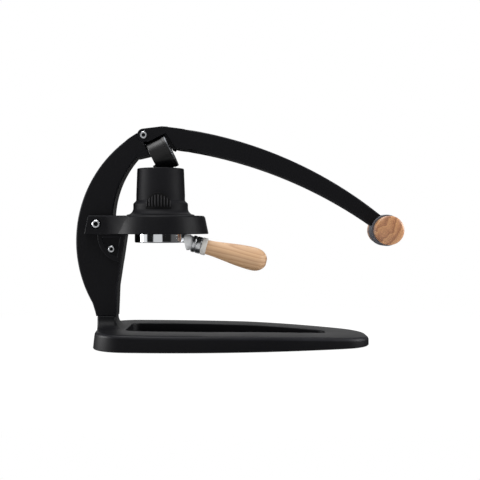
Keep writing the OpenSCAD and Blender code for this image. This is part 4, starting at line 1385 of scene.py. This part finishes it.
@dataclass
class GaugeHead(SubAssembly):
    """Pressure gauge in the lever head: case with the press nose, bezel, dial and glass."""

    body: Body = Body.LEVER
    case_r: float = 23.5
    case_front: float = 11.0
    case_round: float = 1.2
    dial_r: float = 20.5
    dial_sunk: float = 5.0
    bezel: float = 0.8
    screw_up: Point2 = (3.0, 2.0)
    screw_mm: tuple[float, ...] = (4.5, 4.0, 2.3, 2.5, 11.0)
    numbers: tuple[str, ...] = ("0", "3", "6", "9", "12")
    number_r: float = 13.0
    number_h: float = 4.4
    sweep: float = 240.0

    def build(self, screws: Repeater, bars: Repeater) -> None:
        """Rounds the case, turns the bezel and prints the dial.

        Args:
            screws: Tree of the socket screw.
            bars: Tree of bars round an arc.
        """
        self.soften("gauge_case", "gauge_can", self.edge, CAN_COAT, Slot.BLACK_COAT)
        c, f, lip = self.case_r, self.case_front, self.dial_r - 0.4
        out = c + self.bezel
        skirt = rounded([
            (c + 0.02, f - 3, 0), (out, f - 3, 0.2), (out, f + 1.5, 0.1), (c + 0.1, f + 1.5, 0),
            (c + 0.1, f + 2.6, 0), (c - 0.5, f + 3.1, 0.2), (lip, f + 2.6, 0.3), (lip, f + 1.6, 0),
            (c - 0.9, f + 1.6, 0), (c - 0.9, f, 0), (c + 0.02, f, 0)])
        edge = rounded([
            (c + 0.1, f + 1.5, 0), (out, f + 1.5, 0.1), (out, f + 2.4, 0.4), (c + 0.1, f + 2.8, 0.1)])
        axes = AXES.dial()
        self.keep(lathe("bezel_skirt", skirt, axes, 128), CAN_COAT, Slot.BLACK_COAT, "gauge_bezel")
        self.keep(lathe("bright_bezel_edge", edge, axes, 128), BEZEL, Slot.CHROME)
        self.dress("gauge_dial", DIAL)
        self.dress("gauge_glass", GLASS)
        above, ahead = self.screw_up
        seat = axes @ Vector((-(c + above) * MM, 0, ahead * MM))
        upward = (axes.to_3x3() @ Vector((-1, 0, 0))).normalized()
        self.fasten(screws, "gauge_socket_screw", "gauge_screw", [(seat, upward)], self.screw_mm)
        self.print_dial(bars)

    def edge(self, p: Vector) -> float:
        """Gives the rounding of the gauge case, at the rim of its back alone.

        Args:
            p: Middle of an edge.

        Returns:
            The rounding there.
        """
        local = AXES.dial().inverted() @ (p * MM) / MM
        on_nose = abs(local.y) < 9.2 and local.x > 20
        if local.z > self.case_front - 7 or on_nose:
            return 0.0
        return self.case_round if math.hypot(local.x, local.y) > self.case_r - 1 and local.z < -12 else 0.0

    def print_dial(self, bars: Repeater) -> None:
        """Prints short ticks and plain numbers on the dial, all inside the glass.

        Args:
            bars: Tree of bars round an arc.
        """
        face = self.case_front - self.dial_sunk
        tick_up, number_up = 0.12, 0.06
        start = (360 - self.sweep) / 2
        for name, count, radius, bar in (("dial_minor_ticks", 49, 18.6, (1.6, 0.28, 0.3)),
                                         ("dial_major_ticks", 9, 17.9, (3.3, 0.84, 0.86))):
            ticks = bars.run(name, UPRIGHT, {
                "Count": count, "Arc Radius": radius * MM, "Start": math.radians(start),
                "Sweep": math.radians(self.sweep), "Bar": Vector(bar) * MM, "Arch": 0.0, "Roundness": 0,
                "Material": INK.material()})
            ticks.data.transform(AXES.dial() @ Matrix.Translation((0, 0, (face + tick_up) * MM)))
            self.keep(ticks, INK, Slot.DIAL)
        bm = bmesh.new()
        # Seen from the front, the dial's up is -X of its axes and its right is +Y.
        stand = Matrix(((0, -1, 0), (1, 0, 0), (0, 0, 1))).to_4x4()
        step = self.sweep / (len(self.numbers) - 1)
        for i, word in enumerate(self.numbers):
            curve = bpy.data.curves.new(f"number_{i}", "FONT")
            curve.body, curve.size = word, self.number_h * MM
            curve.align_x, curve.align_y = "CENTER", "CENTER"
            text = bpy.data.objects.new(curve.name, curve)
            bpy.context.scene.collection.objects.link(text)
            flat = bpy.data.meshes.new_from_object(text.evaluated_get(bpy.context.evaluated_depsgraph_get()))
            a = math.radians(self.sweep / 2 - step * i)
            spot = Vector((-self.number_r * math.cos(a), -self.number_r * math.sin(a), face + number_up)) * MM
            flat.transform(AXES.dial() @ Matrix.Translation(spot) @ stand)
            bm.from_mesh(flat)
            bpy.data.objects.remove(text)
            bpy.data.meshes.remove(flat)
        self.keep(from_bmesh("dial_numbers", bm), INK, Slot.DIAL)


@dataclass
class Needle(SubAssembly):
    """The gauge's needle."""

    body: Body = Body.NEEDLE
    edge: float = 0.12

    def build(self) -> None:
        """Softens the needle's edges."""
        self.soften("gauge_needle", "tapered_needle", self.edge, NEEDLE, Slot.NEEDLE, steps=2)


@dataclass
class Plunger(SubAssembly):
    """Steel plunger with its lip seal, which slides in the bore."""

    body: Body = Body.PLUNGER
    edge: float = 0.4

    def build(self) -> None:
        """Softens the plunger and keeps the seal."""
        self.soften("plunger", "turned_plunger", self.edge, STEEL, Slot.STEEL)
        self.dress("piston_seal", FOOT)


@dataclass
class Portafilter(SubAssembly):
    """Bottomless portafilter: chromed head, filter basket, neck, ferrule and turned wooden grip."""

    body: Body = Body.PORTAFILTER
    edge: float = 0.5
    neck_len: float = 13.0
    ferrule_r: float = 11.4
    ferrule_len: float = 13.0
    collar_len: float = 7.0
    collar_proud: float = 0.3
    bore_r: float = 4.02
    wood_r0: float = 9.8
    wood_r: float = 15.7
    wood_len: float = 83.0
    full_at: float = 0.78  # share of the grip's length where it is thickest
    end_share: float = 0.23

    def build(self) -> None:
        """Rounds the metal, turns the ferrule and the grip."""
        self.soften("portafilter_head", "chromed_head", self.edge, CHROME, Slot.CHROME)
        self.soften("handle_neck", "chromed_neck", self.edge, NECK, Slot.CHROME)
        self.dress("filter_basket", STEEL)
        r, start, bore = self.ferrule_r, self.neck_len, self.bore_r
        seam = start + self.ferrule_len
        rings = rounded([
            (bore, start, 0), (r - 1, start, 0.2), (r, start + 1, 0.5), (r, start + 4.5, 0.4),
            (r - 0.8, start + 5, 0.2), (r - 0.8, start + 6, 0.2), (r, start + 6.5, 0.4), (r, seam - 1, 0.4),
            (r - 1, seam - 0.4, 0.2), (r - 1, seam, 0), (bore, seam, 0)])
        self.keep(lathe("ringed_ferrule", rings, AXES.handle()), FERRULE, Slot.STEEL, "handle_ferrule")
        end, wide = seam + self.collar_len, r + self.collar_proud
        collar = rounded([(bore, seam, 0), (wide, seam, 0.6), (wide, end, 0.6), (bore, end, 0)])
        self.keep(lathe("grip_collar", collar, AXES.handle()), COLLAR, Slot.STEEL)
        self.keep(lathe("turned_grip", self.grip(end), AXES.handle(), sharp=60.0), GRIP_WOOD, Slot.WOOD,
                  "handle_wood")

    def grip(self, start: float) -> list[Point2]:
        """Draws the half section of the wooden grip, slim at the collar and full near its round end.

        Args:
            start: Where it begins along the handle.

        Returns:
            Points of the section.
        """
        made: list[Point2] = [(0.0, start)]
        full, swell, blunt = self.full_at, 1.6, 2.2
        for t in (k / 60 for k in range(61)):
            if t < full:
                r = self.wood_r0 + (self.wood_r - self.wood_r0) * math.sin(math.pi / 2 * t / full) ** swell
            else:
                r = self.wood_r * math.sqrt(max(0.0, 1 - ((t - full) / self.end_share) ** blunt))
            made.append((r, start + self.wood_len * t))
        return [*made, (0.0, start + self.wood_len)]


# Studio


@dataclass(frozen=True)
class SoftBox:
    """A square lamp, in metres and watts."""

    name: str
    place: Point3
    aim: Point3
    size: float
    power: float

    def build(self) -> None:
        """Hangs the lamp."""
        data = bpy.data.lights.new(self.name, "AREA")
        data.shape, data.size, data.energy = "SQUARE", self.size, self.power
        made = bpy.data.objects.new(self.name, data)
        made.location = self.place
        made.rotation_euler = (Vector(self.aim) - Vector(self.place)).to_track_quat("-Z", "Y").to_euler()
        bpy.context.scene.collection.objects.link(made)


@dataclass(frozen=True)
class Panel:
    """A soft bright patch of the world that only mirrors see; its rim and its full part are given as the
    cosine of the angle from its middle."""

    facing: Point3
    rim: float
    full: float
    bright: float


@dataclass
class Studio:
    """Pale floor, soft lamps, white backdrop and the camera at the photograph's view."""

    eye: Point3 = (0.00075, -1.180, 0.159)
    pitch_deg: float = 0.93
    lens: float = 65.55
    sensor: float = 36.0
    clip: Point2 = (0.05, 50.0)
    shadow: float = 0.16
    shadow_reach: Point2 = (0.2, 0.55)
    floor_half: float = 12.0
    paper: str = "#f2f2f2"
    fill: float = 0.5  # light of the world on what does not mirror it
    dark: float = 0.015  # light between the panels
    lamps: tuple[SoftBox, ...] = (
        SoftBox("key", (-0.4, -0.35, 1.45), (-0.05, 0, 0.12), 0.9, 19.0),
        SoftBox("fill", (1.2, -0.05, 0.5), (0.05, 0, 0.15), 0.7, 18.0),
        SoftBox("left", (-1.2, 0.05, 0.25), (-0.1, 0, 0.06), 0.5, 13.0),
        SoftBox("top", (0.05, 0.55, 1.35), (0.0, 0, 0.15), 1.0, 9.0))
    # Behind and above, left, front and a little left, right, overhead, below.
    panels: tuple[Panel, ...] = (
        Panel((0.0, 0.966, 0.259), 0.88, 0.97, 0.7), Panel((-0.97, -0.24, 0.0), 0.93, 0.965, 1.0),
        Panel((-0.139, -0.99, 0.0), 0.925, 0.955, 0.75), Panel((0.99, -0.139, 0.0), 0.82, 0.9, 0.12),
        Panel((0.0, 0.0, 1.0), 0.45, 0.95, 0.6), Panel((0.0, 0.0, -1.0), 0.3, 0.8, 0.5))

    def build(self) -> None:
        """Sets the floor, lamps, world and camera."""
        self.socket_shade()
        self.backdrop()
        for lamp in self.lamps:
            lamp.build()
        data = bpy.data.cameras.new("photo_camera")
        data.lens, data.sensor_width = self.lens, self.sensor
        data.clip_start, data.clip_end = self.clip
        camera = bpy.data.objects.new("photo_camera", data)
        camera.location = self.eye
        camera.rotation_euler = (math.radians(90 - self.pitch_deg), 0, 0)
        scene = bpy.context.scene
        scene.collection.objects.link(camera)
        scene.camera = camera
        scene.view_settings.view_transform = "Standard"

    def socket_shade(self) -> None:
        """Lays a wide pale floor that is white to the camera and keeps a soft shadow."""
        bm = bmesh.new()
        bmesh.ops.create_grid(bm, x_segments=2, y_segments=2, size=self.floor_half)
        plane = from_bmesh("studio_floor", bm)
        # Seamless paper: flat white that only shows where the part shades it.
        made = bpy.data.materials.new("seamless_white_paper")
        made.use_nodes = True
        tree = made.node_tree
        tree.nodes.clear()
        paper = add_node(tree, "ShaderNodeBsdfDiffuse", {"Color": linear(self.paper)})
        white = add_node(tree, "ShaderNodeEmission", {"Color": linear("#ffffff"), "Strength": 1.0})
        rays = add_node(tree, "ShaderNodeLightPath").outputs
        seen = add_node(tree, "ShaderNodeMath", {0: rays["Is Camera Ray"], 1: rays["Is Transmission Ray"]},
                        operation="MAXIMUM")
        place = add_node(tree, "ShaderNodeTexCoord").outputs["Object"]
        far = add_node(tree, "ShaderNodeVectorMath", {0: place}, operation="LENGTH")
        clear = add_node(tree, "ShaderNodeMapRange", {
            "Value": far.outputs["Value"], "From Min": self.shadow_reach[0], "From Max": self.shadow_reach[1],
            "To Min": 1.0 - self.shadow, "To Max": 1.0}, interpolation_type="SMOOTHSTEP")
        part = add_node(tree, "ShaderNodeMath", {0: seen, 1: clear}, operation="MULTIPLY")
        mixed = add_node(tree, "ShaderNodeMixShader", {0: part, 1: paper, 2: white})
        # Mirrors look past the floor at the world's panels.
        gone = add_node(tree, "ShaderNodeBsdfTransparent")
        shown = add_node(tree, "ShaderNodeMixShader", {0: rays["Is Glossy Ray"], 1: mixed, 2: gone})
        add_node(tree, "ShaderNodeOutputMaterial", {"Surface": shown})
        plane.data.materials.append(made)

    def backdrop(self) -> None:
        """Makes the world: white to the camera and through glass, panels round about for what mirrors
        them, and an even fill for the rest."""
        world = bpy.data.worlds.new("white_backdrop")
        bpy.context.scene.world = world
        world.use_nodes = True
        tree = world.node_tree
        tree.nodes.clear()
        rays = add_node(tree, "ShaderNodeLightPath").outputs
        seen = add_node(tree, "ShaderNodeMath", {0: rays["Is Camera Ray"], 1: rays["Is Transmission Ray"]},
                        operation="MAXIMUM")
        way = add_node(tree, "ShaderNodeTexCoord").outputs["Generated"]
        # The upright panels are taller than wide, so heights count for less.
        squat = add_node(tree, "ShaderNodeVectorMath", {0: way, 1: (1.0, 1.0, 0.25)}, operation="MULTIPLY")
        tall = add_node(tree, "ShaderNodeVectorMath", {0: squat}, operation="NORMALIZE")
        glow: bpy.types.Node | float = 0.0
        for panel in self.panels:
            near = add_node(tree, "ShaderNodeVectorMath", {
                0: way if panel.facing[2] else tall, 1: panel.facing}, operation="DOT_PRODUCT")
            patch = add_node(tree, "ShaderNodeMapRange", {
                "Value": near.outputs["Value"], "From Min": panel.rim, "From Max": panel.full,
                "To Min": self.dark, "To Max": panel.bright}, interpolation_type="SMOOTHSTEP")
            glow = add_node(tree, "ShaderNodeMath", {0: glow, 1: patch}, operation="MAXIMUM")
        mirrored = add_node(tree, "ShaderNodeMath", {0: rays["Is Glossy Ray"], 1: glow}, operation="MULTIPLY")
        soft = add_node(tree, "ShaderNodeMath", {0: rays["Is Diffuse Ray"], 1: self.fill},
                        operation="MULTIPLY")
        sums = add_node(tree, "ShaderNodeMath", {0: mirrored, 1: soft}, operation="MAXIMUM")
        total = add_node(tree, "ShaderNodeMath", {0: seen, 1: sums}, operation="MAXIMUM")
        sky = add_node(tree, "ShaderNodeBackground", {"Color": linear("#ffffff"), "Strength": total})
        add_node(tree, "ShaderNodeOutputWorld", {"Surface": sky})


def main() -> None:
    """Builds the studio and each sub-assembly in order."""
    logging.basicConfig(level=logging.INFO, format="%(message)s")
    Studio().build()
    screws, bars = screw_tree(), fan_tree()
    Base().build()
    DripTray().build()
    Post().build(screws)
    BrewGroup().build(bars)
    Lever().build(screws)
    GaugeHead().build(screws, bars)
    Needle().build()
    Plunger().build()
    Portafilter().build()
    bpy.context.view_layer.update()


if __name__ == "__main__":
    main()
